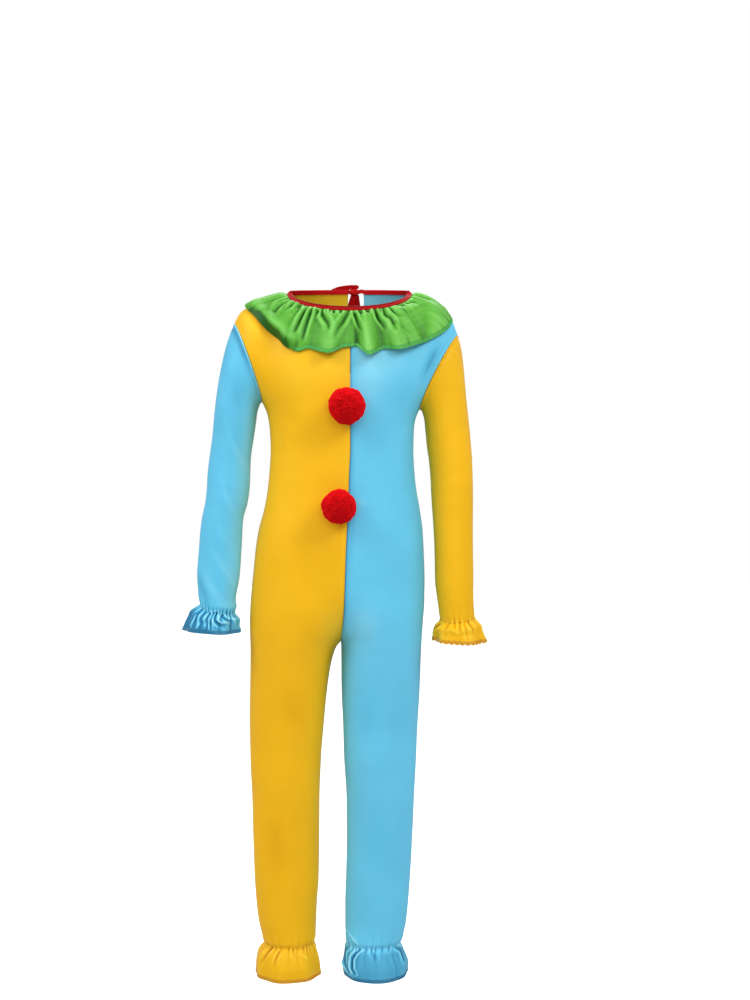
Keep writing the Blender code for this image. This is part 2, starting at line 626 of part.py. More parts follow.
def loft(name, rings):
    """A closed solid through rings of equal count, with flat ends."""
    count = len(rings[0])
    faces = []
    for a in range(0, (len(rings) - 1) * count, count):
        for i in range(count):
            j = (i + 1) % count
            faces += [(a + i, a + j, a + j + count), (a + i, a + j + count, a + i + count)]
    faces += [tuple(range(count)), tuple(range((len(rings) - 1) * count, len(rings) * count))]
    make_object(name, np.concatenate(rings), faces)


def tape_section(middle, up, across, height, thick):
    return [middle + (up * u * height + across * w * thick) / 2 for u, w in BINDING_SECTION]


def make_binding(stations):
    """The folded tape on the neckline edge of the body and the ruffle, and its ends as ties."""
    rings = []
    for s in stations:
        up = unit([0, 0, 0.35] - s.down)
        across = unit(s.normal - (s.normal @ up) * up)
        over = max(0.0, s.normal @ up) * (RUFFLE_ROWS[0].lift + RUFFLE_CLOTH)
        seat = s.point + up * (SEAM_GAP + over + BINDING_HEIGHT / 2)
        rings.append(tape_section(seat, up, across, BINDING_HEIGHT, BINDING_THICK))
    up, across = np.array([0, 0, 1]), np.array([0, 1, 0])
    right, left = ([np.mean(rings[end], axis=0), KNOT + [sign * (KNOT_SIZE[0] + SEAM_GAP), 0, 0]]
                   for end, sign in ((0, -1), (-1, 1)))  # fmt: skip
    rings.insert(0, tape_section(right[1], up, across, TAPE_WIDTH * 0.8, TAPE_THICK * 1.5))
    for way in (0.35, 0.7, 1.0):
        place = left[0] + (left[1] - left[0]) * way + up * 1.6 * math.sin(math.pi * way)
        rings.append(tape_section(place, up, across, TAPE_WIDTH * 0.9, TAPE_THICK * 1.5))
    loft("neck_binding", np.array(rings))


# ---- the tied bow -----------------------------------------------------------------------------
KNOT = np.array([6.5, 66.0, 8.0])
KNOT_SIZE = np.array([9.5, 5.5, 6.5])
# The loop stands on the knot: out to the right and back behind it, then round a short left ear.
LOOP = [(3, 66.4, 20.0), (-12, 66.0, 18.6), (-28, 66.6, 16.0), (-38, 67.6, 14.0), (-42.6, 69.6, 13.4),
        (-38, 71.6, 14.4), (-24, 72.4, 17.0), (-6, 72.2, 19.4), (6, 72.0, 20.2), (12, 71.6, 20.2),
        (15.6, 69.6, 20.0), (12.6, 67.4, 20.0), (8.5, 66.6, 20.0)]  # fmt: skip
Tail = namedtuple("Tail", "name top_x spread_x end_x end_z off")
TAILS = (Tail("tail_right", 8.0, -4.0, -3.0, -168.0, 3.0), Tail("tail_left", 9.0, 16.0, 15.0, -150.0, 6.0))
TAIL_WIDTH = 12.5  # the tape lies a little open in the tails


def tape(name, path, flat, width=TAPE_WIDTH):
    """A flat tape along a path; its width lies along the direction flat."""
    flat = np.array(flat, float)
    tangent = unit(np.gradient(path, axis=0))
    wide = unit(flat - (tangent @ flat)[:, None] * tangent) * width / 2
    thick = unit(np.cross(tangent, wide)) * TAPE_THICK / 2
    corners = (wide + thick, thick - wide, -wide - thick, wide - thick)
    loft(name, np.stack([path + corner for corner in corners], axis=1))


def smooth_path(stops, count):
    """Points along a smooth curve through a few stops."""
    at = np.linspace(0, len(stops) - 1, count)
    return np.stack([hermite(np.arange(len(stops)), axis, at) for axis in zip(*stops)], axis=1)


def make_bow(back_edge):
    """The knot over the slit, with its loop and two tails."""
    rings = []
    for turn in np.linspace(-0.86, 0.86, 5):
        angles = np.linspace(0, 2 * math.pi, 8, endpoint=False)
        round_ = points(np.cos(angles), np.sin(angles), 0 * angles) * math.sqrt(1 - turn**2)
        rings.append(KNOT + (round_ + [0, 0, turn]) * KNOT_SIZE)
    loft("bow_knot", np.array(rings))
    tape("bow_loop", smooth_path(LOOP, 37), (0, -0.45, 1))
    for tail in TAILS:
        z = np.linspace(KNOT[2] - KNOT_SIZE[2] - 1.4, tail.end_z, 9)
        x = np.interp(z, [tail.end_z, -35, z[0]], [tail.end_x, tail.spread_x, tail.top_x])
        y = np.interp(-z, -back_edge[:, 2], back_edge[:, 1]) + TAPE_THICK / 2 + tail.off
        tape(tail.name, points(x, np.maximum(y, KNOT[1] - 2 + tail.off), z), (1, 0, 0), TAIL_WIDTH)


# ---- pompoms ----------------------------------------------------------------------------------
Pompom = namedtuple("Pompom", "name x z")
POMPOMS = (Pompom("pompom_upper", -7.0, -252.0), Pompom("pompom_lower", -23.0, -462.0))


def make_pompom(spec, front_y):
    """A ball of short locks; the part that is sewn to the seam is bare and a little flat."""
    seat = 0.95
    bm = bmesh.new()
    bmesh.ops.create_icosphere(bm, subdivisions=2, radius=1.0)
    verts = [np.array([v.co.x, min(v.co.y, seat), v.co.z]) for v in bm.verts]
    balls = [tuple(v.index for v in f.verts) for f in bm.faces]
    bm.free()
    faces = []
    for k, corners in enumerate(balls):
        middle = unit(np.mean([verts[i] for i in corners], axis=0))
        if middle[1] > 0.6:
            faces.append(corners)
            continue
        tip = POMPOM_LOCKS + 0.05 * math.sin(2.4 * k)
        base, top = len(verts), len(verts) + 3
        verts += [middle * 0.99 + (verts[i] - middle) * 0.86 for i in corners]
        verts += [middle * tip + (verts[i] - middle) * 0.45 for i in corners]
        for a in range(3):
            b = (a + 1) % 3
            faces.append((corners[a], corners[b], base + b, base + a))
            faces.append((base + a, base + b, top + b, top + a))
        faces.append((top, top + 1, top + 2))
    centre = np.array([spec.x, front_y - SEAM_GAP - POMPOM_CORE * seat, spec.z])
    make_object(spec.name, np.array(verts) * POMPOM_CORE + centre, faces)


# ---- colours and the whole garment ------------------------------------------------------------
Look = namedtuple("Look", "colour roughness sheen")
YELLOW = Look((0.86, 0.46, 0.02), 0.5, 0.3)
BLUE = Look((0.13, 0.56, 0.86), 0.5, 0.3)
GREEN = Look((0.09, 0.44, 0.07), 0.5, 0.3)
TAPE_RED = Look((0.60, 0.01, 0.015), 0.55, 0.2)
YARN_RED = Look((0.62, 0.012, 0.02), 0.8, 0.6)
WHITE = Look((0.8, 0.8, 0.78), 0.8, 0.0)
LOOKS = {
    "front_right_chest": YELLOW, "front_right_hips": YELLOW, "front_right_leg": YELLOW,
    "back_right_chest": YELLOW, "back_right_hips": YELLOW, "back_right_leg": YELLOW,
    "sleeve_left_upper": YELLOW, "sleeve_left_lower": YELLOW,
    "front_left_chest": BLUE, "front_left_hips": BLUE, "front_left_leg": BLUE,
    "back_left_chest": BLUE, "back_left_hips": BLUE, "back_left_leg": BLUE,
    "sleeve_right_upper": BLUE, "sleeve_right_lower": BLUE,
    "neck_ruffle": GREEN, "neck_binding": TAPE_RED,
    "bow_knot": TAPE_RED, "bow_loop": TAPE_RED, "tail_right": TAPE_RED, "tail_left": TAPE_RED,
    "pompom_upper": YARN_RED, "pompom_lower": YARN_RED,
    "elastic_ankle_right": WHITE, "elastic_ankle_left": WHITE,
    "elastic_wrist_right": WHITE, "elastic_wrist_left": WHITE,
}  # fmt: skip


def paint(obj, look):
    material = bpy.data.materials.new(f"{obj.name}_cloth")
    material.use_nodes = True
    shader = material.node_tree.nodes["Principled BSDF"]
    shader.inputs["Base Color"].default_value = (*look.colour, 1)
    shader.inputs["Roughness"].default_value = look.roughness
    shader.inputs["Sheen Weight"].default_value = look.sheen
    material.diffuse_color = (*look.colour, 1)
    obj.data.materials.append(material)


def main():
    for obj in list(bpy.data.objects):
        bpy.data.objects.remove(obj, do_unlink=True)
    panels, sheets = {}, []
    for half in (RIGHT, LEFT):
        for face in ("front", "back"):
            rows = panel_rows(half, face)
            flip = (half.sign > 0) == (face == "front")
            seams = panel_seams(half, face, rows)
            names = [f"{face}_{half.name}_{stretch}" for stretch in ("chest", "hips", "leg")]
            panel = parted_wall(names, rows, PANEL_CUTS, np.array([0, 0, -1.0]), seams, flip=flip)
            panels[half.name, face] = panel
            sheets.append(panel[0])
        sheets.append(make_sleeve(half)[0])
        make_elastics(half)
    stations = neck_stations(panels)
    make_ruffle(stations, surface_tree(sheets))
    make_binding(stations)
    make_bow(np.array([row[0] for row in panels["right", "back"][0]]))
    front = np.array([row[0] for row in panels["right", "front"][0]])
    for spec in POMPOMS:
        make_pompom(spec, float(np.interp(-spec.z, -front[:, 2], front[:, 1])))
    for obj in bpy.data.objects:
        paint(obj, LOOKS[obj.name])


main()
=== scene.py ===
"""Dresses the clown jumpsuit: satin knit, gathers, overlocked hems, bound neck, bow and pompoms.

Sizes are in millimetres and become metres when a mesh is made. +X is the wearer's left, -Y is the
front and +Z is up. The cloth follows the surfaces that the solids are made from, so this script
holds the same tables and curves, and adds the folds, gathers, seams and sewing.
"""

import math
from collections import namedtuple
from functools import partial

import bpy
import numpy as np
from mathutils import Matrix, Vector
from mathutils.bvhtree import BVHTree


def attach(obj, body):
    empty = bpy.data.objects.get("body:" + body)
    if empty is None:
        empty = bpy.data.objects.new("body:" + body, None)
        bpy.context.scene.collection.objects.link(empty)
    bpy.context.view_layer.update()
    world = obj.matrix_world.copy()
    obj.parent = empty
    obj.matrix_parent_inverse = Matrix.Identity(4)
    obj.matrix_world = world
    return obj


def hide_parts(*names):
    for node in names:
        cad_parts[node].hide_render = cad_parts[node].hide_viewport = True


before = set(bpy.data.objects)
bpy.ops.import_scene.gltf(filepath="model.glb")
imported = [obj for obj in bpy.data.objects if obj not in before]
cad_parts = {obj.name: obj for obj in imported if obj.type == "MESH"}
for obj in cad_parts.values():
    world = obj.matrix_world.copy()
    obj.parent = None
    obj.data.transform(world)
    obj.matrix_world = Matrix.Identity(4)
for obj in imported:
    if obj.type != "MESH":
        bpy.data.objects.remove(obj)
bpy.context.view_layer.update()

MM = 0.001

# ---- sizes that the solids have too -------------------------------------------------------------
NECK_DEPTH = {"front": -74.0, "back": 62.0}  # y of the neckline at its middle
NECK_Z = {"front": -48.0, "back": 3.0}
SLIT_MIDDLE = 10.0  # x of the back slit at the neck
SLIT_GAP = 35.0  # width of the slit at the neck
SLIT_LENGTH = 280.0
CROTCH_Z = -750.0
RISE = {"front": 112.0, "back": 140.0}  # height over which a centre seam curves in to the crotch
ARMPIT_Z = -243.0
ARMHOLE_DEPTH = 62.0  # half of the armhole, front to back
ARMHOLE_BOW = 8.0  # how far its seam bends in towards the chest
ANKLE_Z = -1406.0  # the elastic line above the ankle frill
HEM_Z = -1480.0
RUFFLE_WIDTH = 98.0
TAPE_WIDTH = 10.5
CORNER = 5 / 9  # the shoulder's neck end: its share of a panel's top edge
BINDING_HEIGHT = 11.0
BINDING_THICK = 4.0
TAPE_THICK = 2.0
POMPOM_CORE = 28.0
SEAM_GAP = 0.3
LOOKS = {"front": -1, "back": 1}  # the way along Y that each face looks
SQUARENESS = 0.14  # how much squarer than an ellipse a section of the torso is
SHOULDER_OVER = 25.0  # height below the armpits over which the way up into the yoke is taken

# ---- sizes of the cloth and the sewing ----------------------------------------------------------
KNIT_THICK = 1.1  # satin-faced knit, lofted a little where it is gathered
SEAM_DEPTH = 1.0  # how far the cloth dips into a seam
SEAM_REACH = 2.2
OVERLOCK_WIDTH = 7.6  # on the neck ruffle
FRILL_OVERLOCK = 7.4  # on the wrists and ankles
OVERLOCK_PITCH = 2.3
THREAD = 0.5  # radius of a sewing thread, with its fuzz
RUFFLE_NEEDLE = 0.6  # radius of the row where the needle goes in, on the ruffle
FINE_THREAD = 0.3  # radius of the thread over the elastics and on the binding
THREAD_ARCH = 0.35  # how high a stitch stands over the cloth
TOPSTITCH_ARCH = 0.2
TOPSTITCH_PITCH = 3.6
ZIGZAG_PITCH = 3.4
STITCH_LIFT = 0.25  # how far the middle of an overlock's thread lies off the cloth
RELIEF_STEP = 1.3  # height of a fold over its surroundings at which it takes its full painted highlight, and a hollow its full painted shade
CLOTH_RELIEF = 9.0  # width of the surroundings that a fold is measured against
RUFFLE_RELIEF = 12.0
KNOT_RELIEF = 3.0

Depth = namedtuple("Depth", "z front back middle")
Sleeve = namedtuple("Sleeve", "outer_x outer_z inner_x inner_z depth middle")
Half = namedtuple("Half", "name sign body_cloth sleeve_cloth side inseam tip armpit shoulder sleeve")
Crease = namedtuple("Crease", "width height stops rooted")


def table(kind, *rows):
    """Rows of numbers as rows with named columns."""
    return [kind(*row) for row in rows]


def creases(*rows, rooted=False):
    """Folds: each row has a width, a height and then x and z of each place that it runs through."""
    return [Crease(row[0], row[1], list(zip(row[2::2], row[3::2])), rooted) for row in rows]


# z and x of the centre front seam, from the neck to the crotch.
SEAM_LINE = [
    (-44, 0), (-340, 0), (-385, -2), (-447, -4), (-512, -7), (-577, -10), (-642, -12), (-706, -15),
    (CROTCH_Z, -19),
]
# How deep the garment is in front of and behind its side seams, and where those seams lie.
DEPTHS = table(
    Depth,
    (-200, 106, 112, 0), (ARMPIT_Z, 110, 112, 0), (-340, 104, 100, 0), (-450, 106, 106, 0),
    (-560, 112, 124, 2), (-650, 108, 130, 4), (CROTCH_Z, 96, 112, 8), (-860, 84, 92, 12),
    (-960, 74, 80, 15), (-1080, 66, 66, 16), (-1250, 56, 64, 20), (-1360, 52, 54, 22),
    (ANKLE_Z, 50, 50, 22), (-1425, 60, 60, 22), (-1440, 66, 66, 22), (-1458, 70, 70, 22),
    (HEM_Z, 70, 70, 22),
)
# Along the side seam, the inseam and the shoulder: z and x. The tip is the shoulder's outer end.
RIGHT = Half(
    name="right", sign=-1, body_cloth="yellow", sleeve_cloth="blue",
    tip=(-253.0, -67.0), armpit=(-192.0, -235.0),
    side=[
        (-200, -203), (-235, -192), (-263, -180), (-296, -175), (-339, -173), (-382, -175), (-426, -179),
        (-469, -187), (-512, -199), (-555, -206), (-609, -211), (-663, -216), (-717, -218), (-771, -217),
        (-858, -218), (-922, -219), (-1009, -218), (-1095, -214), (-1181, -212), (-1268, -209),
        (-1322, -205), (-1365, -199), (-1390, -191), (ANKLE_Z, -187), (-1412, -190), (-1425, -199),
        (-1440, -204), (-1458, -206), (HEM_Z, -206),
    ],
    inseam=[
        (CROTCH_Z, -19), (-761, -29), (-771, -34), (-793, -41), (-836, -49), (-879, -54), (-922, -58),
        (-1009, -65), (-1095, -68), (-1181, -69), (-1268, -70), (-1322, -74), (-1365, -76), (-1390, -78),
        (ANKLE_Z, -80), (-1412, -79), (-1425, -75), (-1440, -70), (-1458, -67), (HEM_Z, -66),
    ],
    shoulder=[(-5, -137), (-14, -177), (-27, -212), (-41, -236), (-67, -253)],
    sleeve=table(
        Sleeve,
        (-253, -67, -192, -235, 62, 0), (-272, -123, -201, -252, 58, 0), (-285, -188, -206, -283, 54, 0),
        (-294, -253, -212, -322, 52, -1), (-300, -317, -216, -356, 50, -2),
        (-309, -393, -218, -408, 49, -4), (-313, -447, -222, -451, 48, -6),
        (-320, -490, -231, -490, 46, -9), (-327, -555, -235, -555, 44, -13),
        (-330, -609, -239, -609, 42, -17), (-328, -648, -246, -655, 39, -20),
        (-323, -672, -250, -689, 36, -22), (-327, -677, -249, -694, 38, -22),
        (-342, -691, -244, -704, 46, -22), (-353, -709, -240, -720, 53, -22),
        (-359, -728, -236, -736, 57, -22),
    ),
)
LEFT = Half(
    name="left", sign=1, body_cloth="blue", sleeve_cloth="yellow",
    tip=(232.0, -93.0), armpit=(149.0, -251.0),
    side=[
        (-200, 163), (-251, 149), (-267, 141), (-296, 136), (-339, 135), (-382, 137), (-426, 141),
        (-469, 148), (-512, 154), (-555, 157), (-609, 159), (-663, 159), (-717, 155), (-771, 152),
        (-858, 149), (-922, 145), (-1009, 141), (-1095, 137), (-1181, 133), (-1268, 128), (-1322, 124),
        (-1365, 119), (-1390, 112), (ANKLE_Z, 107), (-1412, 107), (-1425, 111), (-1440, 118), (-1458, 123),
        (HEM_Z, 121),
    ],
    inseam=[
        (CROTCH_Z, -19), (-761, -18), (-771, -18), (-793, -18), (-836, -18), (-879, -17), (-922, -15),
        (-1009, -13), (-1095, -9), (-1181, -9), (-1268, -11), (-1322, -13), (-1365, -13), (-1390, -11),
        (ANKLE_Z, -10), (-1412, -11), (-1425, -14), (-1440, -17), (-1458, -19), (HEM_Z, -15),
    ],
    shoulder=[(-5, 131), (-11, 164), (-28, 194), (-56, 216), (-93, 232)],
    sleeve=table(
        Sleeve,
        (232, -93, 149, -251, 62, 0), (241, -136, 158, -270, 58, 0), (247, -188, 162, -304, 54, 0),
        (251, -240, 165, -335, 52, -1), (257, -307, 169, -364, 50, -2), (262, -370, 172, -404, 49, -4),
        (263, -430, 174, -447, 48, -6), (263, -490, 177, -498, 46, -9), (263, -555, 180, -557, 44, -13),
        (263, -620, 182, -622, 42, -17), (264, -665, 187, -668, 39, -20), (265, -699, 192, -704, 36, -22),
        (267, -704, 190, -709, 38, -22), (276, -719, 184, -721, 46, -22), (285, -738, 179, -737, 52, -22),
        (291, -757, 177, -753, 56, -22),
    ),
)
SLEEVE_ELASTIC = 11  # row of the sleeve tables that the wrist elastic gathers

Ruffle = namedtuple("Ruffle", "reach wave lift")
Fold = namedtuple("Fold", "place width out")
# From the binding to the hem: share of the width, height of the waves, and how far the cloth
# stands off the body.
RUFFLE_ROWS = table(
    Ruffle,
    (0.0, 0.0, 0.4), (0.05, 0.0, 3.2), (0.16, 2.0, 7.0), (0.4, 6.0, 9.5), (0.7, 9.5, 11.5),
    (1.0, 12.5, 14.0),
)
# The folds of the hem, from the back slit round the wearer's right side and the front: share of
# the way round, width there against the usual, and how far it stands out or lies in.
RUFFLE_FOLDS = table(
    Fold,
    (0.0, 0.96, -0.2), (0.04, 1.02, 0.9), (0.08, 0.97, -0.8), (0.12, 1.02, 1.0), (0.16, 0.97, -0.8),
    (0.2, 0.95, 0.5), (0.24, 0.9, -0.6), (0.275, 0.96, -0.4), (0.305, 0.89, -0.7), (0.335, 0.92, 0.3),
    (0.36, 0.97, 0.6), (0.385, 1.09, 0.0), (0.405, 1.11, -0.6), (0.425, 1.0, -0.8), (0.462, 1.08, 1.0),
    (0.49, 0.89, -0.6), (0.51, 0.86, -1.0), (0.532, 1.12, 1.5), (0.562, 0.98, -0.8), (0.59, 1.08, 0.6),
    (0.625, 1.06, 0.2), (0.65, 1.08, -0.6), (0.68, 1.12, -0.4), (0.7, 1.12, -0.9), (0.73, 1.12, -1.2),
    (0.75, 1.02, -1.2), (0.79, 0.94, 0.5), (0.84, 0.97, -0.8), (0.88, 1.02, 1.0), (0.92, 0.97, -0.8),
    (0.96, 1.02, 0.9), (1.0, 0.96, -0.2),
)


# ---- curves through the tables ------------------------------------------------------------------
def bell(distance, width, power=2):
    """1 where the distance is 0, and falling off smoothly from there."""
    return np.exp(-((distance / width) ** power))


def ramp(value):
    """The value, held between 0 and 1."""
    return np.clip(value, 0, 1)


def unit(vectors):
    """Vectors of length 1 with the same headings."""
    vectors = np.asarray(vectors, float)
    return vectors / np.maximum(np.linalg.norm(vectors, axis=-1, keepdims=True), 1e-9)


def points(x, y, z):
    """Places from their coordinates, of which any may be shared by all."""
    return np.stack(np.broadcast_arrays(x, y, z), axis=-1).astype(float)


def run_along(line):
    """Distance along a line from its first point."""
    return np.concatenate([[0], np.cumsum(np.linalg.norm(np.diff(line, axis=0), axis=1))])


def read_off(at, places, rows):
    """Rows of numbers, known at some places, read off at others."""
    return np.stack([np.interp(at, places, axis) for axis in rows.T], axis=1)


def evened(rows, reach, axis=0, ring=False):
    """Each row of numbers averaged with its neighbours along a line, or round a ring."""
    rows = np.moveaxis(rows, axis, 0)
    kernel = np.hanning(2 * reach + 1)[1:-1]
    before = rows[-reach:] if ring else rows[:1].repeat(reach, 0)
    after = rows[:reach] if ring else rows[-1:].repeat(reach, 0)
    padded = np.concatenate([before, rows, after])
    total = sum(k * padded[i + 1:i + 1 + len(rows)] for i, k in enumerate(kernel))
    return np.moveaxis(total / kernel.sum(), 0, axis)


def blend(t, start, leaving, end, arriving):
    """A cubic from start to end, with the slopes it leaves and arrives with."""
    return (
        (2 * t**3 - 3 * t**2 + 1) * start + (t**3 - 2 * t**2 + t) * leaving
        + (3 * t**2 - 2 * t**3) * end + (t**3 - t**2) * arriving
    )


def hermite(knots, values, at):
    """A smooth curve through a table, which doesn't swing past its values."""
    knots, values = np.asarray(knots, float), np.asarray(values, float)
    if knots[0] > knots[-1]:
        knots, values = knots[::-1], values[::-1]
    steps = np.diff(knots)
    slopes = np.diff(values) / steps
    before, after, both = steps[:-1], steps[1:], slopes[:-1] * slopes[1:]
    share = (2 * after + before) * slopes[1:] + (after + 2 * before) * slopes[:-1]
    inner = np.where(both > 0, 3 * (before + after) * both / np.where(both > 0, share, 1), 0)
    tangents = np.concatenate([slopes[:1], inner, slopes[-1:]])
    at = np.clip(np.asarray(at, float), knots[0], knots[-1])
    i = np.clip(np.searchsorted(knots, at) - 1, 0, len(steps) - 1)
    h = steps[i]
    return blend((at - knots[i]) / h, values[i], h * tangents[i], values[i + 1], h * tangents[i + 1])


def curve(pairs, at):
    """A smooth curve through a table of two columns."""
    return hermite(*zip(*pairs), at)


def column(rows, name, at):
    """One column of a table as a smooth curve over its first column."""
    return hermite([row[0] for row in rows], [getattr(row, name) for row in rows], at)


def smooth_path(stops, count):
    """Points along a smooth curve through a few stops."""
    at = np.linspace(0, len(stops) - 1, count)
    return np.stack([hermite(np.arange(len(stops)), axis, at) for axis in zip(*stops)], axis=1)


# ---- the body -----------------------------------------------------------------------------------
def centre_line(half, face, z):
    """x of the centre front or centre back edge of this half; the back stands open at the slit."""
    seam = curve(SEAM_LINE, z)
    if face == "front":
        return seam
    opening = SLIT_GAP / 2 * ramp(1 + np.asarray(z, float) / SLIT_LENGTH) ** 0.7
    return seam + SLIT_MIDDLE * ramp(1 + z / 400) + half.sign * opening


def section(half, face, share, z):
    """Points round one panel at height z, from the centre seam or inseam (0) to the side seam (1).

    Above the crotch the panel starts on the centre seam. Towards the crotch that start moves
    round, until the two panels of the half close into the tube of a leg.
    """
    z = np.broadcast_to(np.asarray(z, float), np.shape(share))
    closing = ramp(1 - (z - CROTCH_Z) / RISE[face])
    inner = np.where(z > CROTCH_Z, centre_line(half, face, z), curve(half.inseam, z))
    reach = (curve(half.side, z) - inner) / (1 + closing)
    square = 1 + SQUARENESS * (1 - closing)  # the torso is a little squarer than a leg
    start = np.arccos(closing**square)
    turn = start + (math.pi - start) * share
    along = np.sign(np.cos(turn)) * np.abs(np.cos(turn)) ** (1 / square)
    depth = column(DEPTHS, face, z) * LOOKS[face] * np.abs(np.sin(turn)) ** (1 / square)
    return points(inner + reach * (closing - along), column(DEPTHS, "middle", z) + depth, z)


def armhole_normal(half):
    """Unit vector across the armhole, out of the body."""
    along = np.array([half.tip[0] - half.armpit[0], 0, half.tip[1] - half.armpit[1]])
    return unit(np.array([along[2], 0, -along[0]]) * half.sign)


def armhole(half, face, share):
    """The armhole seam from the armpit (0) to the shoulder tip (1)."""
    tip, armpit = (np.array([end[0], 0, end[1]]) for end in (half.tip, half.armpit))
    swing = math.pi * np.asarray(share, float)[..., None]
    loop = (tip + armpit) / 2 + (armpit - tip) / 2 * np.cos(swing)
    bow = ARMHOLE_DEPTH * np.array([0, LOOKS[face], 0]) - ARMHOLE_BOW * armhole_normal(half)
    return loop + bow * np.sin(swing)


def top_edge(half, face, share):
    """The neckline, from the centre to the shoulder point, and then the shoulder seam."""
    turn = ramp(share / CORNER) * math.pi / 2
    low = NECK_Z[face]
    start = centre_line(half, face, low)
    point_z, point_x = half.shoulder[0]
    past = ramp((share - CORNER) / (1 - CORNER))
    run_z, run_x = smooth_at(half.shoulder, past)
    on_neck = share <= CORNER
    x = np.where(on_neck, start + (point_x - start) * np.sin(turn), run_x)
    z = np.where(on_neck, point_z + (low - point_z) * np.cos(turn), run_z)
    return points(x, NECK_DEPTH[face] * np.cos(turn), z)


def smooth_at(stops, share):
    """The coordinates of a smooth curve through a few evenly spaced stops."""
    return (hermite(np.linspace(0, 1, len(stops)), axis, share) for axis in zip(*stops))


def armpit_level(half, share, z=ARMPIT_Z, fade=1.0):
    """The level's height along a panel: it tilts to meet this side's own armpit."""
    return z + (half.armpit[1] - ARMPIT_Z) * share**3 * fade


# The way that the cloth runs as it meets the top edge, at the centre, the neck end of the
# shoulder seam, the middle of that seam and its tip: towards the middle, over it and up.
OVER_SHARES = (0, CORNER, 0.78, 1)
OVER_SHOULDER = ((0.55, 0.62, 0.36), (0.12, 0.98, 0.12), (0, 1, 0.03))
OVER = {"front": ((0, 0.56, 0.83), *OVER_SHOULDER), "back": ((0, 0.37, 0.93), *OVER_SHOULDER)}


def yoke(half, face, share, rise):
    """Points of the chest or shoulder blade: rise runs from armpit level (0) to the top edge (1)."""

    def arc(share):
        low = armpit_level(half, share)
        base, under = (section(half, face, share, z) for z in (low, low - SHOULDER_OVER))
        top = top_edge(half, face, share)
        span = np.linalg.norm(top - base, axis=-1, keepdims=True)
        over = read_off(share, OVER_SHARES, np.array(OVER[face]))
        over = unit(over * (-half.sign, -LOOKS[face], 1))
        return blend(rise, base, span * unit(base - under), top, span * over)

    share = np.asarray(share, float)
    miss = armhole(half, face, np.array(rise)) - arc(np.array([1.0]))[0]
    return arc(share) + (share**2.5)[:, None] * miss


def sleeve_ring(half, at, share):
    """One ring of the sleeve: at is a row of its table, share runs once round the ring.

    The ring starts at the inner side and passes the front, the outer side and the back.
    """
    index = np.arange(len(half.sleeve))
    row = Sleeve(*(float(hermite(index, values, at)) for values in zip(*half.sleeve)))
    outer = np.array([row.outer_x, row.middle, row.outer_z])
    inner = np.array([row.inner_x, row.middle, row.inner_z])
    swing = 2 * math.pi * share[:, None]
    ring = (outer + inner) / 2 + (inner - outer) / 2 * np.cos(swing)
    bow = ARMHOLE_BOW * max(0.0, 1 - at / 2) * armhole_normal(half)
    return ring - np.array([0, row.depth, 0]) * np.sin(swing) - bow * np.abs(np.sin(swing))


# ---- sheets of cloth as fine grids --------------------------------------------------------------
def out_of(grid, turned=False, closed=False):
    """Unit normals of a grid of points, on the cloth's outer face."""
    around = np.concatenate([grid[:, -1:], grid, grid[:, :1]], axis=1) if closed else grid
    across = np.gradient(around, axis=1)
    across = across[:, 1:-1] if closed else across
    return unit(np.cross(np.gradient(grid, axis=0), across) * (-1 if turned else 1))


def along_rows(grid):
    """Distance along each row from its first point."""
    steps = np.linalg.norm(np.diff(grid, axis=1), axis=2)
    return np.concatenate([np.zeros((len(grid), 1)), np.cumsum(steps, axis=1)], axis=1)


def down_columns(grid):
    """Distance down each column from its first point."""
    return along_rows(grid.swapaxes(0, 1)).T


def spacing(grid, axis):
    return np.linalg.norm(np.diff(grid, axis=axis), axis=2).mean()


def seam_dip(distance):
    return -SEAM_DEPTH * bell(distance, SEAM_REACH)


CREASE_POINTS = 25  # points along the line of a crease


def crease_height(grid, folds, front=None):
    """Soft ridges, and sharper tucks where the height is below zero, on lines seen from the front.

    A ridge has a trough beside it, which is how loose cloth folds, and a tuck has a lip on
    each side. A rooted fold fades from its first place on. front limits them to the points in
    front of the side seams, or behind them.
    """
    height = np.zeros(grid.shape[:2])
    last = CREASE_POINTS - 1
    for crease in folds:
        line = smooth_path(crease.stops, CREASE_POINTS)
        heading = unit(np.gradient(line, axis=0))
        offset = grid[:, :, None, ::2] - line
        near = np.linalg.norm(offset, axis=-1).argmin(axis=-1)
        offset = np.take_along_axis(offset, near[..., None, None], axis=2)[:, :, 0]
        beside = offset[..., 0] * heading[near, 1] - offset[..., 1] * heading[near, 0]
        beyond = np.where((near == 0) | (near == last), (offset * heading[near]).sum(-1), 0)
        beside, beyond, along = beside / crease.width, beyond / crease.width, near / last
        past = np.hypot(beside, beyond)
        if crease.height > 0:
            profile = bell(past, 1) * (1 - 0.55 * np.tanh(beside * 1.3))
        else:
            lip = 0.4 * bell(past - 2, 0.8)
            profile = 0.6 * np.exp(-2.2 * past) + 0.5 * bell(past, 1) - lip
        if crease.rooted:
            profile *= (1 - along) ** 0.75 * np.minimum(1, 0.6 + 3 * along)
        else:
            profile *= np.sin(math.pi * (0.08 + 0.84 * along)) ** 0.8
        height += crease.height * profile
    if front is not None:
        height *= ramp(grid[..., 1] * (-1 if front else 1) / 18)
    return height


UNDULATION = 0.7  # height of the slow waves in the cloth
SHORTEST_WAVE = 70.0
WAVES = 9


def undulation(grid, seed):
    """The slow unevenness of soft cloth that nothing stretches."""
    rng = np.random.default_rng(seed)
    total = np.zeros(grid.shape[:2])
    for k in range(WAVES):
        heading = unit(rng.normal(size=3) * [1, 1, 0.75])
        wavelength = SHORTEST_WAVE * (1 + 0.28 * k)
        total += np.sin(2 * math.pi * (grid @ heading) / wavelength + rng.uniform(0, 6.28))
    return total * UNDULATION / math.sqrt(WAVES)


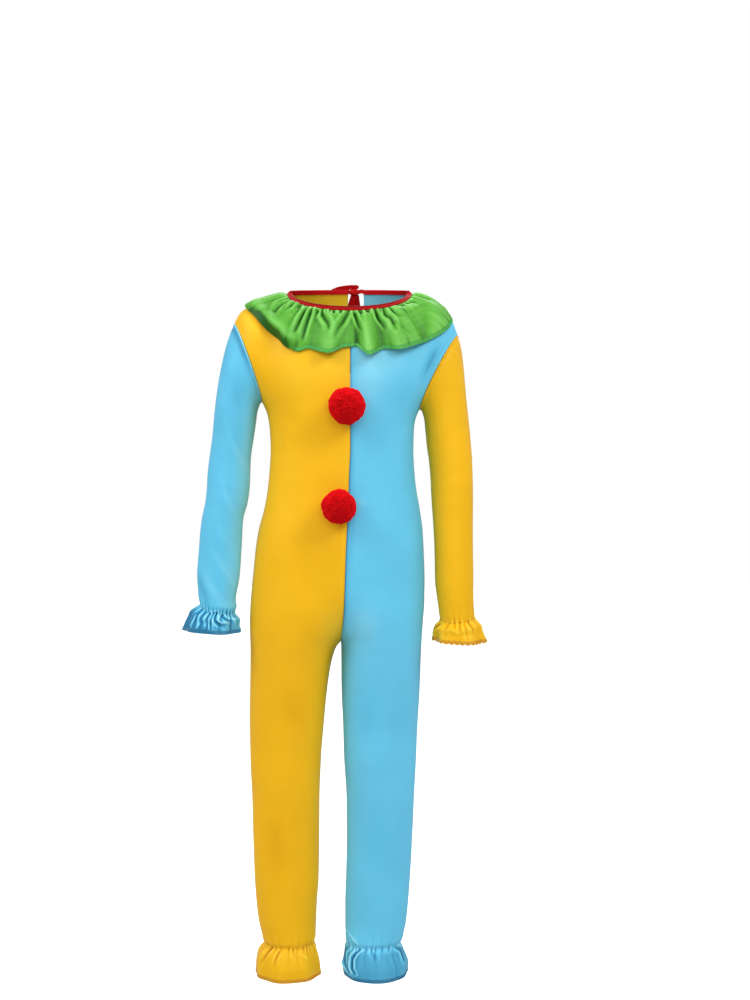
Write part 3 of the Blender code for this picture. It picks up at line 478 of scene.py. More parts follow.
def gathered(place, count, seed, reach, spread=0.5, ring=False):
    """Uneven gathers side by side: sharp hollows with round puffs between.

    place runs over them from 0 to 1. Gives their height, from about -1 to 1, and how far each
    one runs from the line that gathers it.
    """
    rng = np.random.default_rng(seed)
    widths = rng.uniform(0.6, 1.4, count)
    marks = np.concatenate([[0], np.cumsum(widths)]) / widths.sum()
    sizes = rng.uniform(1 - spread, 1 + spread, count + 1)
    runs = reach[0] + (reach[1] - reach[0]) * rng.uniform(0, 1, count + 1) ** 1.8
    if ring:
        sizes[-1], runs[-1] = sizes[0], runs[0]
    phase = np.interp(place, marks, np.arange(count + 1))
    size, run = (np.interp(phase, np.arange(count + 1), rows) for rows in (sizes, runs))
    return size * (1.6 * np.abs(np.sin(math.pi * phase)) ** 0.75 - 0.95), run


# How an elastic gathers the cloth: how many tucks and soft folds lie side by side, how high they
# are, how far the tucks run above it and below it, how far the folds run, where they reach their
# full height, where the cloth bulges above the elastic, and whether it runs all the way round.
Gather = namedtuple("Gather", "tucks folds tuck puff above below folds_run ease bulge ring")


def gathers(spec, share, above, below, higher, seed):
    """The tucks at an elastic and the soft folds that they open into, on both of its sides."""
    tucks, run = gathered(share, spec.tucks, seed, spec.above, ring=spec.ring)
    fading = np.where(higher, 0.55 * bell(above, run, 1.7), bell(below, spec.below, 1.5))
    puffs, run = gathered(share, spec.folds, seed + 80, spec.folds_run, 0.6, spec.ring)
    puff = spec.puff * puffs * np.minimum(1, below / spec.ease) * bell(below, run)
    loose, _ = gathered(share, spec.folds, seed + 40, (20, 40), 0.6, spec.ring)
    return spec.tuck * tucks * fading + puff + loose * 0.4 * bell(above - spec.bulge, 16) * higher


def relief_of(grid, out, reach, closed=False, down=False):
    """How far each place of the cloth lies in a hollow (-1) or on a fold (1), which sets its painted shade
    and painted highlight.
    """
    count = max(2, round(reach / spacing(grid, 1)))
    even = evened(grid, count, 1, closed)
    if down:
        even = evened(even, max(2, round(reach / spacing(grid, 0))))
    stands = np.clip(((grid - even) * out).sum(axis=-1) / RELIEF_STEP, -1, 1)
    if closed:
        return stands
    columns = np.arange(grid.shape[1])
    return stands * (0.35 + 0.65 * np.minimum(1, np.minimum(columns, columns[::-1]) / count))


def painted_frill_shade(painted_shading, grid, line, amount):
    """Painted shade on the frill below its elastic, where it turns away from the light, all but on the
    crests of its folds.
    """
    return painted_shading - ramp((line - 4 - grid[..., 2]) / 14) * amount * (1 - ramp(painted_shading))


def set_attribute(mesh, name, kind, domain, values, field="value"):
    mesh.attributes.new(name, kind, domain).data.foreach_set(field, values)


def quads_of(number):
    """The faces between the points of a grid that are numbered so."""
    corners = number[:-1, :-1], number[1:, :-1], number[1:, 1:], number[:-1, 1:]
    return np.stack(corners, axis=-1).reshape(-1, 4)


def sheet_mesh(name, outer, out, thick, closed=False, painted_shading=None):
    """A thin closed sheet: the outer grid, its inner face and the edge between them."""
    rows, columns = outer.shape[:2]
    count = rows * columns
    number = np.arange(count).reshape(rows, columns)
    ring = np.concatenate([number, number[:, :1]], axis=1) if closed else number
    quads = quads_of(ring)
    walks = [ring[0], ring[-1][::-1]]
    if not closed:
        walks = [np.concatenate([number[0], number[1:, -1], number[-1, -2::-1], number[-2::-1, 0]])]
    starts, stops = (np.concatenate(ends) for ends in ([w[:-1] for w in walks], [w[1:] for w in walks]))
    rim = np.stack([starts, stops, stops + count, starts + count], axis=1)
    a, b, c = (outer.reshape(-1, 3)[quads[:, k]] for k in (0, 1, 2))
    if (np.cross(b - a, c - a) * out.reshape(-1, 3)[quads[:, 0]]).sum() < 0:
        quads, rim = quads[:, ::-1], rim[:, [1, 0, 3, 2]]
    faces = np.concatenate([quads, quads[:, ::-1] + count, rim])
    verts = np.concatenate([outer.reshape(-1, 3), (outer - out * thick).reshape(-1, 3)]) * MM
    mesh = bpy.data.meshes.new(name)
    mesh.from_pydata(verts.tolist(), [], faces.tolist())
    mesh.polygons.foreach_set("use_smooth", np.ones(len(faces), bool))
    border = np.zeros(2 * count, bool)
    for walk in walks:
        border[walk] = border[walk + count] = True
    ends = np.zeros(2 * len(mesh.edges), int)
    mesh.edges.foreach_get("vertices", ends)
    ends = ends.reshape(-1, 2)
    sharp = border[ends].all(axis=1) & ((ends[:, 0] < count) == (ends[:, 1] < count))
    set_attribute(mesh, "sharp_edge", "BOOLEAN", "EDGE", sharp)
    # painted shade in hollows and painted highlight on folds; the inner face takes half the painted
    # highlight
    if painted_shading is not None:
        both = np.concatenate([painted_shading.ravel(), 0.5 + 0 * painted_shading.ravel()]).astype(np.float32)
        set_attribute(mesh, "painted_shading", "FLOAT", "POINT", both)
    across, down = along_rows(outer)[rows // 2], down_columns(outer).mean(axis=1)
    place = np.stack(np.broadcast_arrays(across, down[:, None]), axis=-1)
    place = np.tile(place.reshape(-1, 2), (2, 1)) * MM
    corners = np.zeros(len(mesh.loops), int)
    mesh.loops.foreach_get("vertex_index", corners)
    mesh.uv_layers.new(name="cloth").data.foreach_set("uv", place[corners].ravel())
    return mesh


def link(name, data):
    """A new object in the scene."""
    thing = bpy.data.objects.new(name, data)
    bpy.context.scene.collection.objects.link(thing)
    return thing


def add_piece(name, mesh, nodes=(), material=None):
    """Puts a finished mesh in the scene as a piece of the suit, in place of its solids."""
    piece = link(name, mesh)
    if material:
        mesh.materials.clear()
        mesh.materials.append(material)
    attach(piece, "root")
    if nodes:
        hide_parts(*nodes)
    return piece


def add_tape(name, node, kit, grid, thick, painted_shading=None, closed=False):
    """A piece of the red tape."""
    mesh = sheet_mesh(name, grid, out_of(grid, closed=closed), thick, closed, painted_shading)
    return add_piece(name, mesh, [node], kit.tape)


# ---- panels of the body -------------------------------------------------------------------------
PANEL_STRETCHES = ("chest", "hips", "leg")
PANEL_WIDTH = 126  # columns of a fine panel
SEAM_SHADE = 0.7  # how much darker a seam is painted, as painted shade
PLACED_SHADE = 0.2  # how much more painted highlight a ridge, and painted shade a tuck, with its own place takes, for each mm of its height
SEAM_LINE_WIDTH = 1.7
FRONT_CREASES = {
    "right": creases(
        (8, 1.1, -158, -268, -112, -322), (9, 0.8, -166, -252, -96, -262),
        (10, 0.7, -150, -300, -128, -360), (12, 0.5, -34, -748, -92, -716),
        (10, 0.4, -44, -768, -104, -748), (10, 0.7, -196, -742, -150, -716),
        (12, 0.8, -70, -1010, -118, -1024), (12, 0.7, -190, -1120, -150, -1150),
        (14, 0.7, -178, -430, -140, -480), (16, 0.6, -190, -560, -120, -590),
        (10, 0.6, -90, -1290, -140, -1330), (16, 0.6, -60, -170, -110, -200),
    ),
    "left": creases(
        (8, -2.4, 178, -140, 161, -178, 149, -212), (8, 1.1, 132, -282, 92, -334),
        (9, 0.8, 136, -262, 84, -282), (3.5, 1.6, 10, -456, 36, -457), (5, 0.8, 8, -470, 34, -478),
        (12, 0.5, 10, -748, 64, -714), (10, 0.4, 12, -768, 62, -750), (11, 0.7, 140, -720, 92, -700),
        (12, 0.8, 16, -1004, 62, -1022), (12, 0.7, 118, -1100, 84, -1128), (14, 0.7, 138, -440, 104, -486),
        (16, 0.6, 144, -590, 90, -612), (10, 0.6, 100, -1296, 52, -1330), (16, 0.6, 40, -190, 92, -214),
    ),
}
BACK_CREASES = {
    "right": creases(
        (9, 1.3, -152, -262, -100, -316), (13, 0.9, -130, -180, -70, -250),
        (11, 1.5, -24, -748, -120, -688), (9, 1.1, -36, -776, -130, -748), (16, 0.9, -30, -640, -130, -622),
        (11, 1.1, -66, -1000, -150, -1012), (11, 0.8, -74, -1034, -160, -1052),
        (12, 0.8, -8, -330, -26, -420), (18, 0.8, -170, -500, -90, -540),
        (11, 0.7, -90, -1300, -160, -1330),
    ),
    "left": creases(
        (9, 1.3, 130, -276, 86, -326), (13, 0.9, 110, -190, 62, -256), (11, 1.5, 2, -748, 88, -690),
        (9, 1.1, 4, -776, 96, -750), (16, 0.9, 12, -636, 104, -618), (11, 1.1, 10, -1004, 98, -1016),
        (11, 0.8, 8, -1040, 92, -1058), (12, 0.8, 18, -330, 26, -430), (18, 0.8, 140, -480, 70, -520),
        (11, 0.7, 24, -1300, 96, -1332),
    ),
}
# Patches of painted highlight (strength above zero) and painted shade (below zero) on the front: x, z,
# width, height, strength.
PAINTED_HIGHLIGHTS_AND_SHADES = {
    "right": [
        (-38, -165, 40, 45, 0.26), (-110, -190, 40, 60, 0.22), (-34, -716, 34, 44, 0.4),
        (-160, -1190, 20, 64, -0.24), (-118, -890, 30, 50, -0.15), (-90, -540, 40, 60, -0.08),
    ],
    "left": [
        (34, -190, 34, 60, 0.34), (70, -150, 60, 40, 0.3), (26, -712, 30, 40, 0.3),
        (36, -905, 26, 46, -0.12), (60, -1180, 24, 60, -0.08), (25, -456, 9, 3, 0.7),
    ],
}
# Painted shadow that the edge of the ruffle casts on the front, along lines seen from the front.
PAINTED_COLLAR_SHADOW = {
    "right": creases((9, -0.8, -214, -38, -202, -58, -184, -80, -160, -106)),
    "left": creases((12, -0.4, 186, -118, 172, -150, 158, -180)),
}
# Folds of the frills and just above them, which hang from the elastic.
ANKLE_CREASES = {
    "right": creases(
        (2.6, 2.2, -104, -1424, -92, -1436),
    ) + creases(
        (2.6, -3.6, -168, -1406, -183, -1425, -196, -1449), (3.2, -4.2, -78, -1397, -68, -1428, -66, -1456),
        (2.6, -1.8, -152, -1412, -161, -1432, -164, -1446), (4.0, -1.8, -122, -1412, -119, -1428),
        rooted=True),
    "left": creases(
        (2.6, -4.2, -3, -1407, -13, -1426, -14, -1445, -4, -1464),
        (1.8, 2.0, -8, -1405, -18, -1424, -20, -1443, -10, -1463, 5, -1472),
        (2.6, -4.4, 20, -1408, 4, -1433, 3, -1451, 9, -1463),
        (1.8, 2.0, 16, -1407, -1, -1432, -3, -1451, 3, -1463), (1.8, 1.6, 32, -1407, 16, -1420, 5, -1440),
        (2.4, 2.0, -12, -1375, 20, -1401), (2.8, -3.4, 93, -1406, 107, -1421, 116, -1444),
        (1.8, 1.8, 99, -1405, 112, -1420, 121, -1443),
    ) + creases((4, -1.0, 48, -1414, 52, -1427, 50, -1434), rooted=True),
}
ANKLE_GATHER = Gather(
    tucks=15, folds=8, tuck=3.2, puff=3.0, above=(4.0, 15.0), below=9, folds_run=(26, 75), ease=9,
    bulge=12, ring=False)
# The tucks and puffs of the backs and of each front, and the share of the waves that its frill has.
ANKLE_SIDES = {"back": (3.2, 3.0, 0.7), "right": (2.2, 1.0, 0.35), "left": (1.7, 0.4, 0.15)}
FRILL_SAG = {"front": 6.5, "back": 3.0}  # how far the middle of the elastic line hangs
FRILL_RISE = 8.0  # how far the sides of the hem rise
# How far the frill's waves stand out, and how far the left inseam lies over: z and distance.
FRILL_WAVES = [(ANKLE_Z, 0.0), (-1412, 0.6), (-1428, 2.6), (-1450, 4.2), (HEM_Z, 5.5)]
LEFT_LEG_CLOSER = [(-1180, 0), (-1000, 2.2), (-820, 3.2), (-750, 3.8), (-715, 2.0), (-680, 0)]


def panel_grid(half, face):
    """The panel's surface before it is folded, from its top edge to the hem, and the rows of its yoke."""
    share = np.linspace(0, 1, PANEL_WIDTH + 1)
    rises = 1 - np.concatenate([[0, 0.006, 0.014, 0.024, 0.036], np.linspace(0.05, 1, 30)])
    rows = [yoke(half, face, share, rise) for rise in rises]
    wide_apart = np.arange(ARMPIT_Z - 10, ANKLE_Z + 44, -10.0)
    close_together = np.arange(ANKLE_Z + 40, HEM_Z, -2.1)
    for z in np.concatenate([wide_apart, close_together]):
        fade = max(0.0, 1 - (ARMPIT_Z - z) / 120)
        rows.append(section(half, face, share, armpit_level(half, share, z, fade)))
    rows.append(section(half, face, share, HEM_Z))
    grid = np.array(rows)
    grid[..., 2] += ankle_sag(grid, face)
    if face == "front":  # the belly runs into the thigh without an edge
        softened = bell(grid[..., 2] - CROTCH_Z - RISE["front"], 55)
        grid += (evened(grid, 6) - grid) * softened[..., None]
    if half.sign > 0:  # the left leg hangs close beside the right one below the crotch
        heights, closer = zip(*LEFT_LEG_CLOSER)
        grid[..., 0] -= np.interp(grid[..., 2], heights, closer) * ramp(1 - share / 0.3) ** 2
    # Below the corner of the neckline and the shoulder seam the cloth hangs without a kink.
    top = grid[:len(rises)]
    below_top = ramp((down_columns(grid)[:len(rises)] - 3) / 34)
    above_end = ramp(np.arange(len(rises))[::-1, None] / 7)
    inside = ramp((share - 0.22) / 0.2) * ramp((0.98 - share) / 0.2)
    top += (evened(top, 24, 1) - top) * (below_top * above_end * inside)[..., None]
    return grid, len(rises)


def ankle_folds(grid, half, face):
    """The height of the gathers and folds at the elastic, and of the folds with their own places."""
    share = np.linspace(0, 1, grid.shape[1])
    z = grid[..., 2]
    tuck, puff, waving = ANKLE_SIDES["back" if face == "back" else half.name]
    spec = ANKLE_GATHER._replace(tuck=tuck, puff=puff)
    seed = 11 + 2 * (half.sign > 0) + (face == "back")
    ends = np.minimum(1, np.minimum(share, 1 - share) * spec.tucks)
    above, below = np.maximum(z - ANKLE_Z, 0), np.maximum(ANKLE_Z - z, 0)
    height = gathers(spec, share, above, below, z > ANKLE_Z, seed)
    uneven = share - 0.035 * np.sin(2 * math.pi * share) * LOOKS[face]
    stand = np.where(z > ANKLE_Z, 0, curve(FRILL_WAVES, z)) * waving
    height -= stand * np.sin(8 * math.pi * uneven) * LOOKS[face]
    height += 3.2 * (1 - bell(z - ANKLE_Z, 7)) * bell(z - ANKLE_Z, 24)
    placed = crease_height(grid, ANKLE_CREASES[half.name] if face == "front" else ()) * ends
    return height * ends + placed, placed


def ankle_sag(grid, face):
    """How far the middle of the elastic line hangs, and how far the sides of the hem rise."""
    bow = np.sin(math.pi * np.linspace(0, 1, grid.shape[1])) ** 0.8
    z = grid[..., 2]
    low = ramp((ANKLE_Z - z) / (ANKLE_Z - HEM_Z)) ** 2
    return FRILL_RISE * (1 - bow) * low - FRILL_SAG[face] * bow * bell(z - ANKLE_Z, 26)


def make_panel(half, face):
    """A panel's smooth surface, the folded one, its normals, and its painted shade and highlight."""
    base, yoke_rows = panel_grid(half, face)
    front = face == "front"
    turned = (half.sign > 0) != front
    across, down = along_rows(base), down_columns(base)
    other_side = across[:, -1:] - across
    corner = round(PANEL_WIDTH * CORNER)
    dip = seam_dip(across) + seam_dip(other_side)
    dip[:, corner:] += seam_dip(down[:, corner:])
    x, z = base[..., 0], base[..., 2]
    loose = ramp((z - ANKLE_Z) / 40) * ramp((NECK_Z["back"] - z) / 90)
    height = undulation(base, 5 + (face == "back")) * loose
    height += crease_height(base, (FRONT_CREASES if front else BACK_CREASES)[half.name], front)
    level = base.copy()
    level[..., 2] -= ankle_sag(base, face)
    folds, placed = ankle_folds(level, half, face)
    height = height * ramp(across / 12) * ramp(other_side / 12) + dip + folds
    grid = base + out_of(base, turned) * height[..., None]
    away = np.array([0, LOOKS[face], 0.0]) * SEAM_GAP / 2
    crotch = int(np.argmin(np.abs(base[:, 0, 2] - CROTCH_Z)))
    grid[:crotch, 0] += np.array([half.sign, 0, 0]) * SEAM_GAP / 2
    grid[crotch:, 0] += away
    grid[:yoke_rows, -1] -= armhole_normal(half) * SEAM_GAP / 2
    grid[yoke_rows:, -1] += away
    grid[0, corner:] += away
    out = out_of(grid, turned)
    shade = -SEAM_SHADE * (bell(across, SEAM_LINE_WIDTH) + bell(other_side, SEAM_LINE_WIDTH))
    if front and half.sign > 0:  # painted shade beside the seam, where the seam allowances lie under it and it dips
        shade -= SEAM_SHADE * 0.85 * bell(across, 8.0)
    elif front:
        # less painted shade in the seam on the right front
        shade += SEAM_SHADE * 0.7 * bell(across, SEAM_LINE_WIDTH)
    if front:
        # painted shadow of the ruffle's edge
        shade += crease_height(base, PAINTED_COLLAR_SHADOW[half.name])
        # patches of painted highlight and painted shade
        for at_x, at_z, wide, tall, much in PAINTED_HIGHLIGHTS_AND_SHADES[half.name]:
            shade += much * bell(x - at_x, wide) * bell(z - at_z, tall)
    # painted shade in hollows and painted highlight on folds, with the painted marks above
    painted_shading = np.clip(relief_of(grid, out, CLOTH_RELIEF) + PLACED_SHADE * placed, -1, 1) + shade
    return base, grid, out, painted_frill_shade(painted_shading, grid, ANKLE_Z, 0.55 if half.sign > 0 else 0.0)


# ---- sleeves ------------------------------------------------------------------------------------
SLEEVE_AROUND = 200  # points round a sleeve
SLEEVE_ROWS = 54  # rings above its elastic, and as many from there to the hem
WRIST_GATHER = Gather(
    tucks=27, folds=13, tuck=3.4, puff=3.2, above=(4.0, 12.0), below=11, folds_run=(24, 70), ease=8,
    bulge=14, ring=True)
WRIST_GATHERS = {"right": WRIST_GATHER, "left": WRIST_GATHER._replace(tuck=2.6, puff=2.0, below=7)}
WRIST_WAVES = [0, 0.5, 1.4, 2.2, 3.0]  # how far the frill's waves stand out, row by row of its table
WRIST_SAG = 8.0  # how far the front of the elastic line hangs
WRIST_RISE = {"right": (8.0, 2.0), "left": (6.0, 8.0)}  # how far the hem rises inside and outside
WRIST_CREASES = {
    "right": creases(
        (2.6, 2.6, -283, -692, -283, -702, -274, -709, -262, -709),
        (2.6, 2.4, -268, -694, -258, -700, -248, -703), (2.4, 2.2, -300, -694, -309, -716),
        (2.4, 2.2, -308, -690, -325, -718), (2.6, 2.2, -320, -688, -341, -716),
    ) + creases(
        (2.8, -4.2, -314, -682, -327, -703, -334, -724), (2.6, -4.2, -306, -686, -316, -703, -320, -724),
        (2.6, -4.8, -299, -690, -304, -707, -305, -724), (2.4, -3.8, -292, -690, -297, -709, -296, -724),
        (3, -5.4, -286, -690, -288, -701, -279, -712, -264, -716),
        (2.6, -4.8, -274, -695, -265, -703, -250, -709),
        rooted=True),
    "left": creases(
        (1.8, 2.4, 197, -710, 183, -715, 176, -727), (1.8, 2.4, 197, -710, 191, -721, 179, -732),
        (2.6, -4.2, 195, -713, 186, -719, 179, -728), (4.0, 1.4, 214, -722, 226, -732, 238, -730),
    ) + creases(
        (2.6, -1.6, 208, -714, 205, -724), (2.6, -1.4, 222, -714, 219, -722),
        (3.0, -1.8, 232, -711, 234, -728, 240, -738), (3.0, -2.4, 247, -706, 262, -726),
        rooted=True),
}
SLEEVE_CREASES = {
    "right": creases(
        (8, 0.8, -222, -262, -268, -196), (9, 0.7, -220, -290, -280, -232),
        (9, 0.8, -224, -324, -288, -268), (10, 0.6, -232, -366, -296, -322),
        (11, 0.9, -232, -420, -300, -398), (10, 0.7, -236, -452, -306, -436),
        (14, 0.6, -244, -540, -318, -520), (12, 0.6, -250, -610, -318, -596),
    ),
    "left": creases(
        (8, 0.8, 172, -296, 232, -214), (9, 0.7, 172, -326, 240, -262), (10, 0.7, 178, -372, 250, -318),
        (11, 0.9, 182, -430, 254, -404), (10, 0.7, 184, -466, 256, -448), (14, 0.6, 190, -560, 256, -540),
        (12, 0.6, 192, -630, 258, -612), (10, 0.6, 186, -400, 246, -350),
    ),
}
# Painted highlights on the blue sleeve where drawn cloth would catch the light, and painted shade where it
# hangs hollow.
PAINTED_SLEEVE_LIGHT = creases(
    (6.5, 0.15, -268, -290, -252, -330, -222, -386), (6, 0.16, -276, -406, -264, -448, -248, -478),
    (6, 0.13, -284, -496, -272, -526, -254, -550), (7, 0.17, -300, -548, -276, -586, -246, -636),
    (8, 0.17, -318, -602, -300, -636, -272, -664), (17, -0.17, -254, -186, -244, -220, -238, -252),
    (13, -0.2, -272, -124, -284, -176), (10, -0.3, -330, -606, -300, -674),
)


def sleeve_grid(half):
    """Rings from the armhole to the wrist hem, with the row of each in the sleeve's table."""
    share = np.arange(SLEEVE_AROUND) / SLEEVE_AROUND
    at = np.concatenate([
        [0, 0.03, 0.07, 0.12, 0.18, 0.25, 0.33, 0.42],
        np.linspace(0.52, SLEEVE_ELASTIC - 1.1, SLEEVE_ROWS),
        np.linspace(SLEEVE_ELASTIC - 1.05, len(half.sleeve) - 1, SLEEVE_ROWS)])
    return np.array([sleeve_ring(half, a, share) for a in at]), at - SLEEVE_ELASTIC, share


def beside_armhole(down):
    """The cloth dips into the armhole seam, stands up just below it and dips again."""
    return seam_dip(down) + bell(down - 2.6, 1.4) - 1.3 * bell(down - 8, 4)


def make_sleeve(half):
    """A sleeve's smooth surface, the folded one, its normals, its placed folds and its elastic's row."""
    base, level, share = sleeve_grid(half)
    turned, blue = half.sign < 0, half.sleeve_cloth == "blue"
    seed = 31 + (half.sign > 0)
    swing = 2 * math.pi * share
    elastic = int(np.argmin(np.abs(level)))
    level, down = level[:, None], down_columns(base)
    line = down[elastic]
    above, below = np.maximum(line - down, 0), np.maximum(down - line, 0)
    stand = np.interp(level, np.arange(len(WRIST_WAVES)), WRIST_WAVES)
    wave = stand * np.sin(7 * (swing + 0.04 * math.pi * np.sin(2 * swing)) + half.sign)
    full = 0.8 + 2.8 * (0.5 + 0.5 * np.cos(swing)) * blue
    blouse = full * bell(above - 13, 9) * (level < 0) + 4.6 * bell(below - 20, 12) * (level > 0)
    puffed = gathers(WRIST_GATHERS[half.name], share, above, below, level < 0, seed) + wave + blouse
    girth = np.linalg.norm(np.roll(base, -1, 1) - base, axis=2).sum(axis=1)[:, None]
    height = undulation(base, seed) * ramp(down / 40) * ramp(above / 40)
    height += crease_height(base, SLEEVE_CREASES[half.name]) * ramp(down / 25)
    height += beside_armhole(down) + seam_dip(np.minimum(share, 1 - share) * girth) * (level < 0.2)
    front = np.maximum(0, np.sin(swing))
    inner, outer = WRIST_RISE[half.name]
    corners = (inner + outer + (inner - outer) * np.cos(swing)) / 2
    lowest = ramp(level / 4)
    sagged = base.copy()
    sagged[..., 2] += corners * (1 - front) * lowest**2
    sagged[..., 2] -= WRIST_SAG * front * bell(level, 2.2) * (level < 3)
    if not blue:
        sagged[..., 2] += 1.3 * np.sin(30 * swing) * lowest**6
    folds = crease_height(sagged, WRIST_CREASES[half.name]) * (front > 0.05)
    radial = unit(base - base.mean(axis=1, keepdims=True))
    grid = sagged + out_of(base, turned, True) * height[..., None] + radial * (puffed + folds)[..., None]
    grid[0] += armhole_normal(half) * SEAM_GAP / 2
    return base, grid, out_of(grid, turned, True), folds, elastic


# ---- neck: ruffle and binding -------------------------------------------------------------------
RUFFLE_ACROSS = 40  # rows from the binding to the hem
RUFFLE_FINER = 3  # points of the ruffle to each point of the neckline
NORMALS_EVENED = 6  # points over which the directions away from the body are evened
RIPPLES = 34  # small waves along the hem
RIPPLE_HEIGHT = 1.3
LEAST_LIFT = 0.6  # the ruffle's least distance from the body
ROLL_HEIGHT = 6.0  # how much higher the ruffle stands where its hem rolls under
ROLLED_LIFT = 0.8  # how close to the body the rolled hem itself lies
# Tucks and folds that hang from the binding over the chest and the shoulders, in front view.
CHEST_CREASES = creases(
    (5.8, -7.9, -127, -24, -140, -29, -153, -39, -158, -53, -159, -66),
    (2.9, -6.5, -117, -32, -123, -43, -132, -53), (2.6, -5.5, -106, -38, -113, -49),
    (3.7, -10.2, -91, -43, -98, -56, -109, -81, -117, -102),
    (3.7, -8.4, -82, -46, -86, -60, -95, -91, -101, -117), (3.2, -9.7, -70, -48, -71, -64),
    (5.3, -9.4, -61, -50, -54, -68, -46, -83, -43, -100), (2.5, -5.5, -51, -49, -50, -59),
    (2.8, -6.5, -35, -50, -34, -62), (2.6, -5.0, -20, -50, -20, -60),
    (4.8, -7.4, -5, -52, -14, -72, -24, -89, -35, -119), (3.2, -7.4, 6, -52, 15, -75, 24, -100),
    (3.2, -9.7, 20, -49, 25, -61), (2.8, -5.5, 37, -49, 39, -60),
    (3.2, -7.4, 51, -47, 57, -66, 66, -79, 75, -94), (2.6, -6.0, 60, -46, 64, -58),
    (4.8, -10.2, 68, -45, 75, -62, 84, -70, 89, -83, 92, -98),
    (5.0, -3.6, 78, -42, 88, -56, 101, -64, 122, -67), (2.6, -5.0, 88, -39, 97, -49),
    (5.8, -6.5, 99, -33, 113, -34, 130, -29, 143, -26), (9.0, -2.4, 84, -72, 110, -92, 128, -104),
    rooted=True,
)
# Where the hem rolls under: share of the way round and how much.
ROLLS = [
    (0.0, 0.1), (0.1, 0.2), (0.2, 0.1), (0.27, 0.3), (0.31, 1.0), (0.35, 1.1), (0.385, 0.7), (0.41, 0.1),
    (0.7, 0.0), (0.78, 0.35), (0.84, 0.1), (1.0, 0.1),
]
# Sharp tucks and softer folds all the way round: how many, how far they run from the binding, how
# uneven and how high they are, how near to it they are full, and how much less they show in front.
Hanging = namedtuple("Hanging", "count seed run spread height ease power less")
RUFFLE_GATHERS = table(
    Hanging,
    (50, 71, (8, 26), 0.5, 3.6, 4.5, 1.3, 0.3), (25, 73, (30, 95), 0.7, 3.8, 14, 2, 0.65),
)
NECK_ORDER = (("right", "back", 1), ("right", "front", -1), ("left", "front", 1), ("left", "back", -1))


def neck_line(panels):
    """The neckline from the back slit round the right side and the front: places and normals."""
    corner = round(PANEL_WIDTH * CORNER)
    place, normal = [], []
    for side, face, way in NECK_ORDER:
        base = panels[side, face]
        out = out_of(base[:6], (side == "left") != (face == "front"))[0]
        run, outs = base[0, :corner + 1][::way], out[:corner + 1][::way]
        if place:
            normal[-1] = unit(normal[-1] + outs[0])
            run, outs = run[1:], outs[1:]
        place += list(run)
        normal += list(outs)
    return np.array(place), np.array(normal)


def way_down(place, normal, reach):
    """The way over the cloth from the neckline to the hem of the ruffle."""
    down = unit(np.cross(evened(unit(np.gradient(place, axis=0)), reach), normal))
    return down * np.sign((down * (place - place.mean(axis=0))).sum())


def surface_tree(grids):
    """The outer faces of several grids, for finding the nearest place on them."""
    verts, faces = [], []
    for grid in grids:
        number = np.arange(grid[..., 0].size).reshape(grid.shape[:2]) + len(verts)
        verts += [Vector(p) for p in grid.reshape(-1, 3)]
        faces += quads_of(number).tolist()
    return BVHTree.FromPolygons(verts, faces)


def ruffle_base(place, normal, down, width, tree):
    """Lays the ruffle's width over the body, from each place on the neckline outwards."""
    at, up, heading = place.copy(), normal.copy(), down.copy()
    rows, ups = [at.copy()], [up.copy()]
    for _ in range(RUFFLE_ACROSS):
        for i in range(len(at)):
            ahead = at[i] + heading[i] * width[i] / RUFFLE_ACROSS
            hit, face_normal, _, _ = tree.find_nearest(Vector(ahead))
            face_normal = np.array(face_normal) * np.sign(np.array(face_normal) @ up[i])
            up[i] = unit(0.8 * up[i] + 0.2 * face_normal)
            at[i] = hit
            heading[i] = unit(heading[i] - (heading[i] @ up[i]) * up[i])
        rows.append(at.copy())
        ups.append(up.copy())
    return np.array(rows), np.array(ups)


def make_ruffle(place, normal, tree):
    """The ruffle, its normals, how much painted shade its rolled hem takes and how much it is rolled."""
    count = len(place)
    share = np.linspace(0, 1, RUFFLE_FINER * (count - 1) + 1)
    at, places = share * (count - 1), np.arange(count)
    place = read_off(at, places, place)
    normal = unit(read_off(at, places, evened(normal, NORMALS_EVENED)))
    width = column(RUFFLE_FOLDS, "width", share) * RUFFLE_WIDTH
    base, up = ruffle_base(place, normal, way_down(place, normal, 8), width, tree)
    up = unit(evened(up, NORMALS_EVENED, 1))
    reach = np.linspace(0, 1, RUFFLE_ACROSS + 1)[:, None]
    down = reach * RUFFLE_WIDTH
    front = ramp(-base[..., 1] / 30) * ramp((-60 - base[..., 2]) / 12 + 1)
    lift, wave = (column(RUFFLE_ROWS, name, reach) for name in ("lift", "wave"))
    height = lift + wave * column(RUFFLE_FOLDS, "out", share)
    for spec in RUFFLE_GATHERS:
        folds, run = gathered(share, spec.count, spec.seed, spec.run, spec.spread)
        held = (1 - spec.less * front) * np.minimum(1, down / spec.ease)
        height += folds * spec.height * held * bell(down, run, spec.power)
    ripple, _ = gathered(share, RIPPLES, 75, (1, 2), 0.8)
    height += ripple * RIPPLE_HEIGHT * ramp((reach - 0.6) / 0.4) ** 1.5
    height += crease_height(base, CHEST_CREASES, front=True) * ramp(down / 2.5)
    rolled = curve(ROLLS, share)
    height = np.maximum(height, LEAST_LIFT) + rolled * ROLL_HEIGHT * bell(reach - 0.76, 0.14)
    height += (ROLLED_LIFT - height) * ramp(rolled * ramp((reach - 0.8) / 0.2) ** 1.4)
    grid = base + up * (KNIT_THICK + height)[..., None]
    return grid, out_of(grid), 1.8 * ramp(rolled) * ramp((reach - 0.78) / 0.15), rolled


